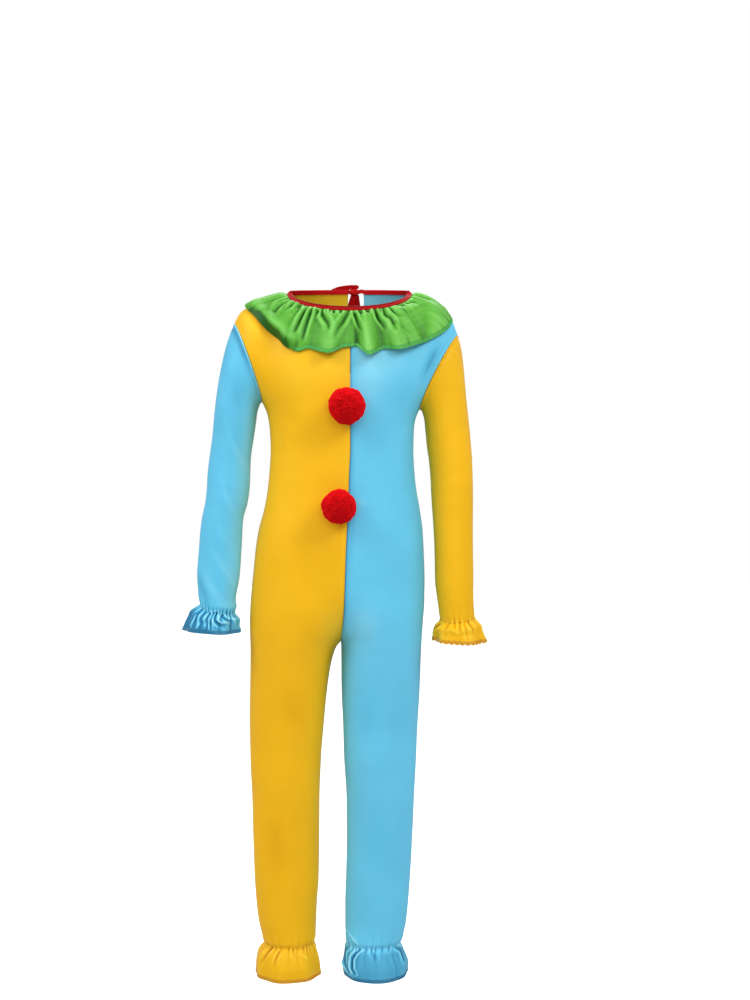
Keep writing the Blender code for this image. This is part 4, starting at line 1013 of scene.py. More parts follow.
BINDING_LEG = 9.5  # how far the folded tape comes down on each side of the edge
BINDING_PITCH = 1.6  # distance between two sections of the binding
TIE_STEPS = 15  # sections of each tie
TIE_SAG = 1.6  # how high the left tie bows on its way to the knot
TAPE_SPREAD = 0.9  # how much further apart a tape's edges lie than its fold


def binding_path(place, normal):
    """The middle of the folded tape on the neckline, the way up from the cloth and the way across."""
    place, normal = place[::2], normal[::2]
    up = unit(np.array([0, 0, 0.35]) - way_down(place, normal, 4))
    rising = (normal * up).sum(axis=1, keepdims=True)
    over = np.maximum(0, rising) * (RUFFLE_ROWS[0].lift + KNIT_THICK)
    return place + up * (SEAM_GAP + over + BINDING_HEIGHT / 2), up, unit(normal - rising * up)


def bias_section(half_height, half_thick, leg):
    """A folded tape seen end on: down the outside, over the fold and down the inside."""
    turn = np.linspace(0, math.pi, 7)
    top = half_height - half_thick
    fold = np.stack([top + half_thick * np.sin(turn), half_thick * np.cos(turn)], axis=1)
    along = np.array([1, 0.75, 0.5, 0.25])
    outside = np.stack([top - along * leg, half_thick + TAPE_SPREAD * along], axis=1)
    return np.concatenate([outside, fold, outside[::-1] * (1, -1)])


def pressed(shape, half_thick):
    """A folded tape's section with its two legs pressed together."""
    shape[:4, 1], shape[-4:, 1] = half_thick, -half_thick
    return shape


def tape_grid(middle, up, across, shapes):
    """A folded tape along a path: one section, in height and thickness, at each of its points."""
    return middle[:, None] + up[:, None] * shapes[..., :1] + across[:, None] * shapes[..., 1:]


def make_binding(place, normal):
    """The folded tape on the neckline and its two ends, which run to the knot as ties."""
    seat, up, across = binding_path(place, normal)
    run = run_along(seat)
    at = np.linspace(0, run[-1], int(run[-1] / BINDING_PITCH))
    seat, up, across = (read_off(at, run, rows) for rows in (seat, up, across))
    steps = np.linspace(0, 1, TIE_STEPS + 1)[1:, None]
    ease = np.minimum(1, steps * 3)
    ties = []
    for end, sign in ((0, -1), (-1, 1)):
        stop = KNOT + [sign * (KNOT_SIZE[0] - 1.5), 0, 0]
        tie = seat[end] + (stop - seat[end]) * steps
        tie[:, 2:] += TIE_SAG * np.sin(math.pi * steps) * (sign > 0)
        upright = unit(up[end] * (1 - ease) + np.array([0, 0, 1]) * ease)
        back = unit(across[end] * (1 - ease) + np.array([0, 1, 0]) * ease)
        ties.append((tie, upright, back, ease[:, 0]))
    parts = [[rows[::-1] for rows in ties[0]], (seat, up, across, 0 * at), ties[1]]
    middle, up, across, flat = (np.concatenate(rows) for rows in zip(*parts))
    wide = bias_section(BINDING_HEIGHT / 2, BINDING_THICK / 2 - 0.4, BINDING_LEG)
    narrow = pressed(bias_section(TAPE_WIDTH * 0.4, TAPE_THICK / 2, TAPE_WIDTH * 0.75), TAPE_THICK / 2)
    front = ramp(0.5 - middle[:, 1] / 90)  # the tape sits deeper on the back than in front
    marks = np.arange(0, len(middle) + 4, 4)
    pulls = np.random.default_rng(91).uniform(-1, 1, len(middle) // 4 + 2)[:len(marks)]
    pull = np.interp(np.arange(len(middle)), marks, pulls)
    shapes = np.repeat(wide[None], len(middle), axis=0)
    shapes[..., 0] += (wide[:, 0] + BINDING_HEIGHT / 2) * (0.24 * front - 0.13)[:, None]
    shapes += (narrow - shapes) * flat[:, None, None]
    low = ramp(0.3 - shapes[..., 0] / BINDING_HEIGHT) * (1 - flat[:, None])
    shapes[..., 1] += np.sign(shapes[..., 1]) * low * (0.5 + 0.2 * pull[:, None])
    # Painted shade on the tape in front, more towards its edges, where they roll into the gathers.
    off_centre = np.abs(shapes[..., 0] / BINDING_HEIGHT + 0.1) * 2
    painted_shading = -(front * (1 - flat))[:, None] * (0.3 + 0.5 * ramp(off_centre) ** 2)
    return tape_grid(middle, up, across, shapes), painted_shading, float(run_along(middle)[-1])


# ---- the tied bow -------------------------------------------------------------------------------
KNOT = np.array([6.5, 66.0, 8.0])
KNOT_SIZE = np.array([9.5, 5.5, 6.5])
# The loop stands on the knot: out to the right and back behind it, then round a short left ear.
LOOP = [
    (3, 66.4, 20.0), (-12, 66.0, 18.6), (-28, 66.6, 16.0), (-38, 67.6, 14.0), (-42.6, 69.6, 13.4),
    (-38, 71.6, 14.4), (-24, 72.4, 17.0), (-6, 72.2, 19.4), (6, 72.0, 20.2), (12, 71.6, 20.2),
    (15.6, 69.6, 20.0), (12.6, 67.4, 20.0), (8.5, 66.6, 20.0),
]
Tail = namedtuple("Tail", "name top_x spread_x end_x end_z off")
TAILS = table(
    Tail,
    ("tail_right", 6.2, -2.6, -3.0, -168.0, 3.0), ("tail_left", 10.6, 13.6, 15.0, -150.0, 6.0),
)
TAIL_WIDTH = 14.0  # the tape lies a little open in the tails
TAIL_POINTS = 120
LOOP_POINTS = 110


def flat_tape(path, wide, width, opened):
    """A tape pressed flat along a path; its width lies along the direction wide.

    opened says how much of the width is open at each point.
    """
    tangent = unit(np.gradient(path, axis=0))
    up = unit(wide - (tangent @ wide)[:, None] * tangent)
    shape = pressed(bias_section(width / 2, TAPE_THICK * 0.42, width * 0.9), TAPE_THICK * 0.36)
    shape[:, 0] -= shape[:, 0].mean() * 0.3
    shapes = shape * np.stack([opened, 0 * opened + 1], axis=1)[:, None]
    return tape_grid(path, up, unit(np.cross(tangent, up)), shapes)


def knot_grid():
    """The knot: a lump of tape wrapped over itself, with a crease where the wraps part."""
    turn = np.linspace(0, 2 * math.pi, 56, endpoint=False)
    x, y = (np.sign(axis) * np.abs(axis) ** 0.75 for axis in (np.cos(turn), np.sin(turn)))
    lean = np.linspace(-0.47, 0.47, 30)[:, None] * math.pi
    narrowing = np.cos(lean) ** 0.6
    body = points(x * narrowing, y * narrowing, np.sin(lean))
    parting = bell(np.sin(2 * turn + 3.2 * body[..., 2]), 0.28)
    crease = 1 - 0.13 * parting + 0.03 * np.sin(5 * turn + 4 * body[..., 2])
    return KNOT + body * crease[..., None] * KNOT_SIZE


# ---- geometry nodes: threads and pompoms --------------------------------------------------------
def node_tree(name, **inputs):
    """An empty geometry tree with a geometry input, named inputs and a geometry output."""
    tree = bpy.data.node_groups.new(name, "GeometryNodeTree")
    sockets = {"Geometry": "Geometry"} | {key.replace("_", " "): kind for key, kind in inputs.items()}
    for label, kind in sockets.items():
        tree.interface.new_socket(label, in_out="INPUT", socket_type=f"NodeSocket{kind}")
    tree.interface.new_socket("Geometry", in_out="OUTPUT", socket_type="NodeSocketGeometry")
    return tree, tree.nodes.new("NodeGroupInput").outputs, tree.nodes.new("NodeGroupOutput")


def add_node(tree, kind, links=(), **settings):
    """A node with its settings; links gives inputs and their sources: a node, an output or a value."""
    node = tree.nodes.new(kind)
    for key, value in settings.items():
        setattr(node, key, value)
    for key, source in links:
        if isinstance(source, bpy.types.Node):
            source = source.outputs[0]
        if isinstance(source, bpy.types.NodeSocket):
            tree.links.new(source, node.inputs[key])
        else:
            node.inputs[key].default_value = source
    return node


def finish_tree(tree, shape, material, ending):
    """Ends a tree with real, smooth, finished faces."""
    real = add_node(tree, "GeometryNodeRealizeInstances", [("Geometry", shape)])
    smooth = add_node(tree, "GeometryNodeSetShadeSmooth", [("Geometry", real)])
    finished = add_node(tree, "GeometryNodeSetMaterial", [("Geometry", smooth), ("Material", material)])
    tree.links.new(finished.outputs[0], ending.inputs["Geometry"])
    return tree


def bake_tree(tree, mesh, inputs):
    """Runs a tree on a mesh and gives back the plain mesh that comes out."""
    carrier = link("carrier", mesh)
    modifier = carrier.modifiers.new("pattern", "NODES")
    modifier.node_group = tree
    for item in tree.interface.items_tree:
        if item.in_out == "INPUT" and item.name in inputs:
            modifier[item.identifier] = inputs[item.name]
    carrier.update_tag()
    evaluated = carrier.evaluated_get(bpy.context.evaluated_depsgraph_get())
    baked = bpy.data.meshes.new_from_object(evaluated)
    carrier.modifiers.clear()
    bpy.data.objects.remove(carrier, do_unlink=True)
    return baked


def thread_tree():
    """One short thread on each point, laid along its run and arched along its rise."""
    tree, given, ending = node_tree("threads", Thread_Radius="Float", Arch="Float", Thread="Material")
    node = partial(add_node, tree)
    arch = node("ShaderNodeCombineXYZ", [("Z", given["Arch"])])
    line = node("GeometryNodeCurveQuadraticBezier", [
        ("Resolution", 3), ("Start", (-0.5, 0, 0)), ("Middle", arch), ("End", (0.5, 0, 0))])
    profile = node("GeometryNodeCurvePrimitiveCircle", [
        ("Resolution", 3), ("Radius", given["Thread Radius"])])
    thread = node("GeometryNodeCurveToMesh", [
        ("Curve", line), ("Profile Curve", profile), ("Fill Caps", True)])
    named = partial(node, "GeometryNodeInputNamedAttribute", data_type="FLOAT_VECTOR")
    run, rise = (named([("Name", name)]).outputs["Attribute"] for name in ("run", "rise"))
    turn = node(
        "FunctionNodeAxesToRotation", [("Primary Axis", run), ("Secondary Axis", rise)],
        primary_axis="X", secondary_axis="Z")
    length = node("ShaderNodeVectorMath", [(0, run)], operation="LENGTH")
    scale = node("ShaderNodeCombineXYZ", [("X", length.outputs["Value"]), ("Y", 1.0), ("Z", 1.0)])
    placed = node("GeometryNodeInstanceOnPoints", [
        ("Points", given["Geometry"]), ("Instance", thread), ("Rotation", turn), ("Scale", scale)])
    return finish_tree(tree, placed, given["Thread"], ending)


def pile_tree():
    """A ball of cut yarn: strands stand on a lumpy core, all but where it is sewn on."""
    tree, given, ending = node_tree(
        "yarn_pile", Core_Radius="Float", Strand_Length="Float", Strand_Radius="Float", Spacing="Float",
        Bare_Above="Float", Seed="Int", Yarn="Material")
    node = partial(add_node, tree)
    seed, length = given["Seed"], given["Strand Length"]
    ball = node("GeometryNodeMeshIcoSphere", [("Radius", given["Core Radius"]), ("Subdivisions", 5)])
    normal = node("GeometryNodeInputNormal")
    lumps = node("ShaderNodeTexNoise", [("Scale", 85.0), ("Detail", 1.0)], noise_dimensions="4D")
    tree.links.new(seed, lumps.inputs["W"])
    amount = node("ShaderNodeMath", [(0, lumps), (1, 0.0100)], operation="MULTIPLY")
    push = node("ShaderNodeVectorMath", [(0, normal), ("Scale", amount)], operation="SCALE")
    core = node("GeometryNodeSetPosition", [("Geometry", ball), ("Offset", push)])
    scatter = node("GeometryNodeDistributePointsOnFaces", [
        ("Mesh", core), ("Distance Min", given["Spacing"]), ("Density Max", 2.0e6), ("Seed", seed)],
        distribute_method="POISSON")
    side = node("ShaderNodeSeparateXYZ", [("Vector", scatter.outputs["Normal"])])
    sewn = node(
        "FunctionNodeCompare", [("A", side.outputs["Y"]), ("B", given["Bare Above"])],
        operation="GREATER_THAN")
    kept = node("GeometryNodeDeleteGeometry", [("Geometry", scatter), ("Selection", sewn)])
    strand = node("GeometryNodeMeshCone", [
        ("Vertices", 3), ("Side Segments", 2), ("Radius Top", given["Strand Radius"]),
        ("Radius Bottom", given["Strand Radius"]), ("Depth", length)], fill_type="TRIANGLE_FAN")
    height = node("ShaderNodeSeparateXYZ", [("Vector", node("GeometryNodeInputPosition"))])
    share = node("ShaderNodeMath", [(0, height.outputs["Z"]), (1, length)], operation="DIVIDE")
    marked = node("GeometryNodeStoreNamedAttribute", [
        ("Geometry", strand), ("Name", "tip"), ("Value", share)], data_type="FLOAT", domain="POINT")
    upright = node("FunctionNodeAlignRotationToVector", [("Vector", scatter.outputs["Normal"])], axis="Z")
    lean = node("FunctionNodeRandomValue", [
        (0, (-0.24, -0.24, -3.0)), (1, (0.24, 0.24, 3.0)), ("Seed", seed)], data_type="FLOAT_VECTOR")
    leaning = node("FunctionNodeEulerToRotation", [("Euler", lean)])
    turn = node(
        "FunctionNodeRotateRotation", [("Rotation", upright), ("Rotate By", leaning)],
        rotation_space="LOCAL")
    grown = node("FunctionNodeRandomValue", [(2, 0.80), (3, 1.10), ("Seed", seed)], data_type="FLOAT")
    scale = node("ShaderNodeCombineXYZ", [("X", 1.0), ("Y", 1.0), ("Z", grown.outputs[1])])
    pile = node("GeometryNodeInstanceOnPoints", [
        ("Points", kept), ("Instance", marked), ("Rotation", turn), ("Scale", scale)])
    whole = node("GeometryNodeJoinGeometry", [(0, pile), (0, core)])
    return finish_tree(tree, whole, given["Yarn"], ending)


# ---- pompoms ------------------------------------------------------------------------------------
Pompom = namedtuple("Pompom", "name x z less seed")
POMPOMS = table(
    Pompom,
    ("pompom_upper", -7.0, -252.0, 0.0, 3), ("pompom_lower", -23.0, -462.5, 2.4, 4),
)
POMPOM_SEAT = 0.95  # how far the sewn side lies from the middle, in core radii
PILE_CORE = 29.6
STRAND_LENGTH = 4.2
STRAND_RADIUS = 1.1
STRAND_SPACING = 1.35
SEWN_ABOVE = 0.62  # the y of the core's normal from which it is sewn on and bare


def make_pompom(spec, tree, front_y, yarn):
    """A pompom sewn on where the front of the suit lies at front_y."""
    mesh = bake_tree(tree, bpy.data.meshes.new("seat"), {
        "Core Radius": (PILE_CORE - spec.less) * MM, "Strand Length": STRAND_LENGTH * MM,
        "Strand Radius": STRAND_RADIUS * MM, "Spacing": STRAND_SPACING * MM, "Bare Above": SEWN_ABOVE,
        "Seed": spec.seed, "Yarn": yarn})
    place = np.zeros(len(mesh.vertices) * 3, np.float32)
    mesh.vertices.foreach_get("co", place)
    place = place.reshape(-1, 3)
    seat = (POMPOM_CORE - spec.less) * POMPOM_SEAT
    place[:, 1] = np.minimum(place[:, 1], seat * MM)
    place += np.array([spec.x, front_y - SEAM_GAP - seat, spec.z]) * MM
    mesh.vertices.foreach_set("co", place.ravel())
    add_piece(f"{spec.name}_pile", mesh, [spec.name])


# ---- sewing: overlocked hems, elastic zigzag and topstitching -----------------------------------
def spaced(line, pitch, *others):
    """Points at an even pitch along a line, and the same places on other rows of vectors."""
    run = run_along(line)
    at = np.linspace(0, run[-1], max(3, int(run[-1] / pitch)))
    return [read_off(at, run, rows) for rows in (line, *others)]


def sew(name, tree, stitches, radius, material, arch=THREAD_ARCH):
    """A piece made of threads, for a list of (middles, runs, rises)."""
    middle, run, rise = (np.concatenate(rows) for rows in zip(*stitches))
    mesh = bpy.data.meshes.new("stitches")
    mesh.from_pydata((middle * MM).tolist(), [], [])
    for key, rows in (("run", run * MM), ("rise", rise)):
        set_attribute(mesh, key, "FLOAT_VECTOR", "POINT", rows.astype(np.float32).ravel(), "vector")
    sizes = {"Thread Radius": radius * MM, "Arch": arch * MM, "Thread": material}
    return add_piece(name, bake_tree(tree, mesh, sizes))


def overlock(edge, inward, out, width=OVERLOCK_WIDTH):
    """The stitches that wrap a raw edge: slanting threads on both faces, a chain on the edge, and
    last the row where the needle goes in."""
    edge, inward, out = spaced(edge, OVERLOCK_PITCH, inward, out)
    inward, out = unit(inward), unit(out)
    step = np.gradient(edge, axis=0)
    reach = inward * width
    outer = edge + reach / 2 + out * STITCH_LIFT
    inner = edge + reach / 2 - out * (KNIT_THICK + STITCH_LIFT)
    return [
        (outer, reach + step * 0.5, out), (outer + step / 2, reach - step * 0.5, out),
        (inner, reach + step * 0.4, -out), (edge - out * KNIT_THICK / 2, step * 1.1, -inward),
        (edge + reach + out * 0.2, step * 0.55, out),
    ]


def zigzag(high, low, out):
    """A zigzag between two lines that run side by side."""
    high, low, out = spaced(high, ZIGZAG_PITCH, low, out)
    ends = np.where((np.arange(len(high)) % 2 == 0)[:, None], high, low)
    return [((ends[1:] + ends[:-1]) / 2 + out[1:] * 0.1, np.diff(ends, axis=0), out[1:])]


# ---- finishes -----------------------------------------------------------------------------------
YELLOW = (0.91, 0.485, 0.004)
BLUE = (0.132, 0.585, 0.85)
GREEN = (0.1, 0.4, 0.037)
TAPE_RED = (0.52, 0.003, 0.005)
YARN_RED = (0.95, 0.009, 0.013)
YELLOW_HEM = (0.88, 0.44, 0.005)
BLUE_HEM = (0.016, 0.26, 0.48)
GREEN_HEM = (0.09, 0.62, 0.105)
TOPSTITCH = (0.50, 0.006, 0.009)
WALE = 0.9 * MM  # width of one column of knit stitches
COURSE = 0.7 * MM
WAVE_PERIOD = math.pi / 10  # period of a Wave Texture of scale 1


def finish_of(name, roughness, sheen=0.0, sheen_roughness=0.5, specular=0.5):
    """A new material, the maker of its nodes, its shader and the coordinates of the piece."""
    material = bpy.data.materials.new(name)
    material.use_nodes = True
    shader = material.node_tree.nodes["Principled BSDF"]
    shader.inputs["Roughness"].default_value = roughness
    shader.inputs["Sheen Weight"].default_value = sheen
    shader.inputs["Sheen Roughness"].default_value = sheen_roughness
    shader.inputs["Specular IOR Level"].default_value = specular
    node = partial(add_node, material.node_tree)
    return material, node, shader, node("ShaderNodeTexCoord").outputs


def plug(source, socket):
    """Feeds a socket from an output, or from a node's first output."""
    source = source.outputs[0] if isinstance(source, bpy.types.Node) else source
    socket.id_data.links.new(source, socket)


def shaded(colour, times):
    return (*(min(1.0, c * times) for c in colour), 1)


def mixed(node, share, a, b):
    """Colour a where the share is 0, and b where it is 1."""
    mix = node("ShaderNodeMix", [("Factor", share), ("A", a), ("B", b)], data_type="RGBA")
    return mix.outputs["Result"]


def mottled(node, coordinates, scale, darker, lighter, detail=2.0):
    """A colour that drifts between two shades, and the drift."""
    noise = node("ShaderNodeTexNoise", [("Vector", coordinates), ("Scale", scale), ("Detail", detail)])
    spread = node("ShaderNodeMapRange", [("Value", noise), ("From Min", 0.3), ("From Max", 0.7)])
    return mixed(node, spread, darker, lighter), noise


def ribs(node, coordinates, direction, pitch):
    wave = node("ShaderNodeTexWave", [
        ("Vector", coordinates), ("Scale", WAVE_PERIOD / pitch), ("Distortion", 0.4), ("Detail", 1.0)],
        bands_direction=direction)
    return wave.outputs[1]


def combined(node, a, b, share):
    part = node("ShaderNodeMath", [(0, a), (1, 1 - share)], operation="MULTIPLY")
    return node("ShaderNodeMath", [(0, b), (1, share), (2, part)], operation="MULTIPLY_ADD")


def emboss(node, shader, height, strength, distance=0.00012):
    bump = node("ShaderNodeBump", [("Height", height), ("Strength", strength), ("Distance", distance)])
    plug(bump, shader.inputs["Normal"])


def painted_fold_light(node, colour, *shades):
    """Painted shade and painted highlight: the colour, mixed to each painted colour as painted_shading
    nears its value.
    """
    painted_shading = node("ShaderNodeAttribute", attribute_name="painted_shading").outputs["Fac"]
    for shade, full in shades:
        depth = node("ShaderNodeMapRange", [("Value", painted_shading), ("From Min", 0.0), ("From Max", full)])
        colour = mixed(node, depth, colour, (*shade, 1))
    return colour


def satin_knit(name, colour, painted_hollow_shade, painted_crest_highlight):
    """Warp-knit satin: fine wales that show close to, painted shade in its hollows and painted highlight on
    its folds, an uneven dye.
    """
    material, node, shader, where = finish_of(name, 0.46, 0.015, 0.4, 0.19)
    base, drift = mottled(node, where["Object"], 9.0, shaded(colour, 0.955), shaded(colour, 1.04))
    plug(painted_fold_light(node, base, (painted_hollow_shade, -1.0), (painted_crest_highlight, 1.0)), shader.inputs["Base Color"])
    loops = combined(node, ribs(node, where["UV"], "X", WALE), ribs(node, where["UV"], "Y", COURSE), 0.4)
    slubs = node("ShaderNodeTexNoise", [("Vector", where["UV"]), ("Scale", 420.0), ("Detail", 2.0)])
    emboss(node, shader, combined(node, loops, slubs, 0.35), 0.35)
    gloss = node("ShaderNodeMapRange", [
        ("Value", combined(node, drift, loops, 0.4)), ("From Min", 0.3), ("From Max", 0.7),
        ("To Min", 0.41), ("To Max", 0.53)])
    plug(gloss, shader.inputs["Roughness"])
    return material


def bias_tape(name, colour):
    """Woven tape cut on the bias: fine diagonal threads, hardly any gloss, and painted shade where
    painted_shading is below zero.
    """
    material, node, shader, where = finish_of(name, 0.6, 0.01, 0.5, 0.1)
    base, _ = mottled(node, where["Object"], 60.0, shaded(colour, 0.86), shaded(colour, 1.08))
    plug(painted_fold_light(node, base, ((0.10, 0.001, 0.001), -1.0)), shader.inputs["Base Color"])
    slanted = node("ShaderNodeMapping", [("Vector", where["UV"]), ("Rotation", (0, 0, math.pi / 4))])
    weave = [ribs(node, slanted.outputs[0], direction, 0.6 * MM) for direction in "XY"]
    emboss(node, shader, combined(node, *weave, 0.5), 0.5)
    return material


def cut_yarn(name, colour):
    """Pile: painted shade down each strand towards its root, between the strands; brighter and dry at their
    cut ends.
    """
    material, node, shader, where = finish_of(name, 0.95, specular=0.03)
    base, _ = mottled(node, where["Object"], 700.0, shaded(colour, 0.88), shaded(colour, 1.08), 3.0)
    tip = node("ShaderNodeAttribute", attribute_name="tip").outputs["Fac"]
    depth = node("ShaderNodeMapRange", [
        ("Value", tip), ("From Min", 0.0), ("From Max", 0.85), ("To Min", 0.3), ("To Max", 1.0)])
    plug(mixed(node, depth, shaded(colour, 0.74), base), shader.inputs["Base Color"])
    return material


def sewing_thread(name, colour):
    material, node, shader, where = finish_of(name, 0.6, 0.3, specular=0.4)
    base, _ = mottled(node, where["Object"], 500.0, shaded(colour, 0.78), shaded(colour, 1.1))
    plug(base, shader.inputs["Base Color"])
    return material


def braided_elastic(name):
    """Narrow elastic: lengthwise cords under a white cover of fine diagonal threads."""
    material, node, shader, where = finish_of(name, 0.75, 0.15, specular=0.3)
    base, _ = mottled(node, where["Object"], 200.0, (0.74, 0.74, 0.72, 1), (0.86, 0.86, 0.84, 1))
    plug(base, shader.inputs["Base Color"])
    cords = ribs(node, where["Object"], "Z", 1.4 * MM)
    cover = ribs(node, where["Object"], "DIAGONAL", 0.9 * MM)
    emboss(node, shader, combined(node, cords, cover, 0.35), 0.7, 0.0003)
    return material


Threads = namedtuple("Threads", "hem needle cloth")


def threads_for(name, hem, cloth, dark=0.3):
    """The threads of one colour of cloth: on its hems, where the needle goes in, and its own."""
    uses = {"hem": hem, "needle": shaded(hem, dark)[:3], "cloth": shaded(cloth, 0.92)[:3]}
    return Threads(*(sewing_thread(f"{name}_{use}_thread", colour) for use, colour in uses.items()))


# ---- studio -------------------------------------------------------------------------------------
CAMERA_AT = (0.052, -3.9, -0.448)
FRAME_HEIGHT = 2.16  # metres that the picture's height spans at the suit
SENSOR_HEIGHT = 36
FLOOR_Z = -1.60
FLOOR_HALF = 20.0
# Name, place, the place that it looks at, width and height, watts.
LIGHTS = (
    ("key", (2.6, -2.2, 2.3), (0, 0, -0.2), (1.3, 1.6), 75),
    ("left", (-2.9, -1.7, 1.9), (0, 0, -0.3), (1.8, 2.2), 72),
    ("front", (0.3, -3.9, 1.2), (0, 0, -0.2), (1.8, 1.8), 29),
    ("back", (0.3, 3.2, 3.0), (0, 0, -0.5), (2.4, 1.6), 95),
)


def add_camera():
    data = bpy.data.cameras.new("camera")
    data.sensor_fit = "VERTICAL"
    data.sensor_height = SENSOR_HEIGHT
    data.lens = SENSOR_HEIGHT * -CAMERA_AT[1] / FRAME_HEIGHT
    data.clip_end = 100
    camera = link("camera", data)
    camera.location = CAMERA_AT
    camera.rotation_euler = (math.pi / 2, 0, 0)
    bpy.context.scene.camera = camera


def add_light(name, place, target, size, watts):
    data = bpy.data.lights.new(name, "AREA")
    data.shape = "RECTANGLE"
    data.size, data.size_y = size
    data.energy = watts
    light = link(name, data)
    light.location = place
    light.rotation_euler = (Vector(target) - Vector(place)).to_track_quat("-Z", "Y").to_euler()


def add_floor():
    """A floor that looks as white as the studio, but takes the suit's shadow in its light."""
    material, node, shader, where = finish_of("studio_floor", 0.9, specular=0.1)
    shader.inputs["Emission Color"].default_value = (1, 1, 1, 1)
    seen = node("ShaderNodeLightPath").outputs["Is Camera Ray"]
    glow = node("ShaderNodeMath", [(0, seen), (1, 1.0)], operation="MULTIPLY")
    plug(glow, shader.inputs["Emission Strength"])
    base, _ = mottled(node, where["Object"], 0.6, (0.48, 0.48, 0.48, 1), (0.51, 0.51, 0.51, 1))
    plug(base, shader.inputs["Base Color"])
    corners = [(x * FLOOR_HALF, y * FLOOR_HALF, FLOOR_Z) for x, y in ((-1, -1), (1, -1), (1, 1), (-1, 1))]
    mesh = bpy.data.meshes.new("floor")
    mesh.from_pydata(corners, [], [(0, 1, 2, 3)])
    mesh.materials.append(material)
    link("floor", mesh)


def add_surroundings():
    """An even white studio, which looks brighter than it lights the suit."""
    world = bpy.data.worlds.new("studio")
    world.use_nodes = True
    bpy.context.scene.world = world
    world.node_tree.nodes.clear()
    node = partial(add_node, world.node_tree)
    seen = node("ShaderNodeLightPath").outputs["Is Camera Ray"]
    lit, white = (
        node("ShaderNodeBackground", [("Color", (1, 1, 1, 1)), ("Strength", strength)])
        for strength in (0.56, 1.0))
    mix = node("ShaderNodeMixShader", [(0, seen), (1, lit), (2, white)])
    node("ShaderNodeOutputWorld", [("Surface", mix)])
    bpy.context.scene.view_settings.view_transform = "Standard"


# ---- the whole suit -----------------------------------------------------------------------------
Cut = namedtuple("Cut", "width length area")
BINDING_TAPE_THICK = 0.8
BOW_TAPE_THICK = 0.7

# What the suit is made with: cloth and threads by colour, and the trees that make thread and pile.
Kit = namedtuple("Kit", "cloth threads tape topstitch yarn elastic thread_tree pile_tree")


def gather_kit():
    """All finishes and trees."""
    # each knit's last two colours are its painted shade in hollows and its painted highlight on folds
    cloth = {
        "yellow": satin_knit("yellow_satin_knit", YELLOW, (0.52, 0.18, 0.001), (1.0, 0.70, 0.04)),
        "blue": satin_knit("blue_satin_knit", BLUE, (0.016, 0.185, 0.37), (0.34, 0.79, 0.94)),
        "green": satin_knit("green_satin_knit", GREEN, (0.014, 0.105, 0.006), (0.20, 0.59, 0.105)),
    }
    threads = {
        "yellow": threads_for("yellow", YELLOW_HEM, YELLOW, 0.75),
        "blue": threads_for("blue", BLUE_HEM, BLUE),
        "green": threads_for("green", GREEN_HEM, GREEN),
    }
    return Kit(
        cloth, threads, bias_tape("red_bias_tape", TAPE_RED), sewing_thread("red_hem_thread", TOPSTITCH),
        cut_yarn("red_cut_yarn", YARN_RED), braided_elastic("white_elastic"), thread_tree(), pile_tree())


def whole_way(rows, closed):
    """Rows of vectors that come back to their start where the cloth is a tube."""
    return [np.concatenate([row, row[:1]]) if closed else row for row in rows]


def hem_of(grid, out, closed=False):
    """The last row of a grid with the directions into the cloth and out of it."""
    return whole_way((grid[-1], grid[-2] - grid[-1], out[-1]), closed)


def sew_cloth(key, grid, out, painted_shading, colour, nodes, kit, closed=False):
    """A piece of knit cloth in place of its solids."""
    name = f"{key}_cloth"
    mesh = sheet_mesh(name, grid, out, KNIT_THICK, closed, painted_shading)
    return add_piece(name, mesh, nodes, kit.cloth[colour])


def sew_edges(key, grid, out, line, closed, colour, kit):
    """The hem's stitches, the dark row where its needle goes in, and the zigzag over the elastic."""
    hem = overlock(*hem_of(grid, out, closed), FRILL_OVERLOCK)
    beside = zigzag(*whole_way((grid[line - 1], grid[line + 1], out[line]), closed))
    slot, thread = f"{colour}_satin_knit", kit.threads[colour]
    return [
        sew(f"{key}_hem_stitches", kit.thread_tree, hem[:-1], THREAD, thread.hem),
        sew(f"{key}_hem_needle_row", kit.thread_tree, hem[-1:], THREAD, thread.needle),
        sew(f"{key}_elastic_stitches", kit.thread_tree, beside, FINE_THREAD, thread.cloth),
    ]


def sew_panel(half, face, kit):
    key, colour = f"{face}_{half.name}", half.body_cloth
    base, grid, out, painted_shading = make_panel(half, face)
    nodes = [f"{key}_{stretch}" for stretch in PANEL_STRETCHES]
    panel = sew_cloth(key, grid, out, painted_shading, colour, nodes, kit)
    line = int(np.argmin(np.abs(base[:, PANEL_WIDTH // 2, 2] - ANKLE_Z)))
    sew_edges(key, grid, out, line, False, colour, kit)
    return base


ALLOWANCE = 3.2  # width of the sleeve's seam allowance that is drawn
ALLOWANCE_GAP = 0.8  # how far it lies under the body's cloth
ALLOWANCE_DROP = 0.5  # how much further at its edge


def turned_in(grid, out, half):
    """The sleeve with its seam allowance, which lies inside the armhole under the body."""
    under = grid[0] - out[0] * (KNIT_THICK + ALLOWANCE_GAP)
    edge = under - armhole_normal(half) * ALLOWANCE - out[0] * ALLOWANCE_DROP
    return np.concatenate([[edge, under], grid])


def blue_sleeve_painted_light(whole, line):
    """Painted light on the blue sleeve: highlight on its rolled-out seam, shade beside it and on its frill,
    darker overall.
    """
    x, z = whole[..., 0], whole[..., 2]
    down = down_columns(whole) - 3.5
    shade = 1.4 * bell(down - 3, 1.9) - 0.6 * bell(down - 13, 8) * ramp((z + 215) / 80)
    shade -= 0.45 * ramp((-302 - x) / 22) * ramp((line - z) / 12) + 0.09 + 0.08 * ramp((z + 420) / 120)
    return shade + crease_height(whole, PAINTED_SLEEVE_LIGHT, True)


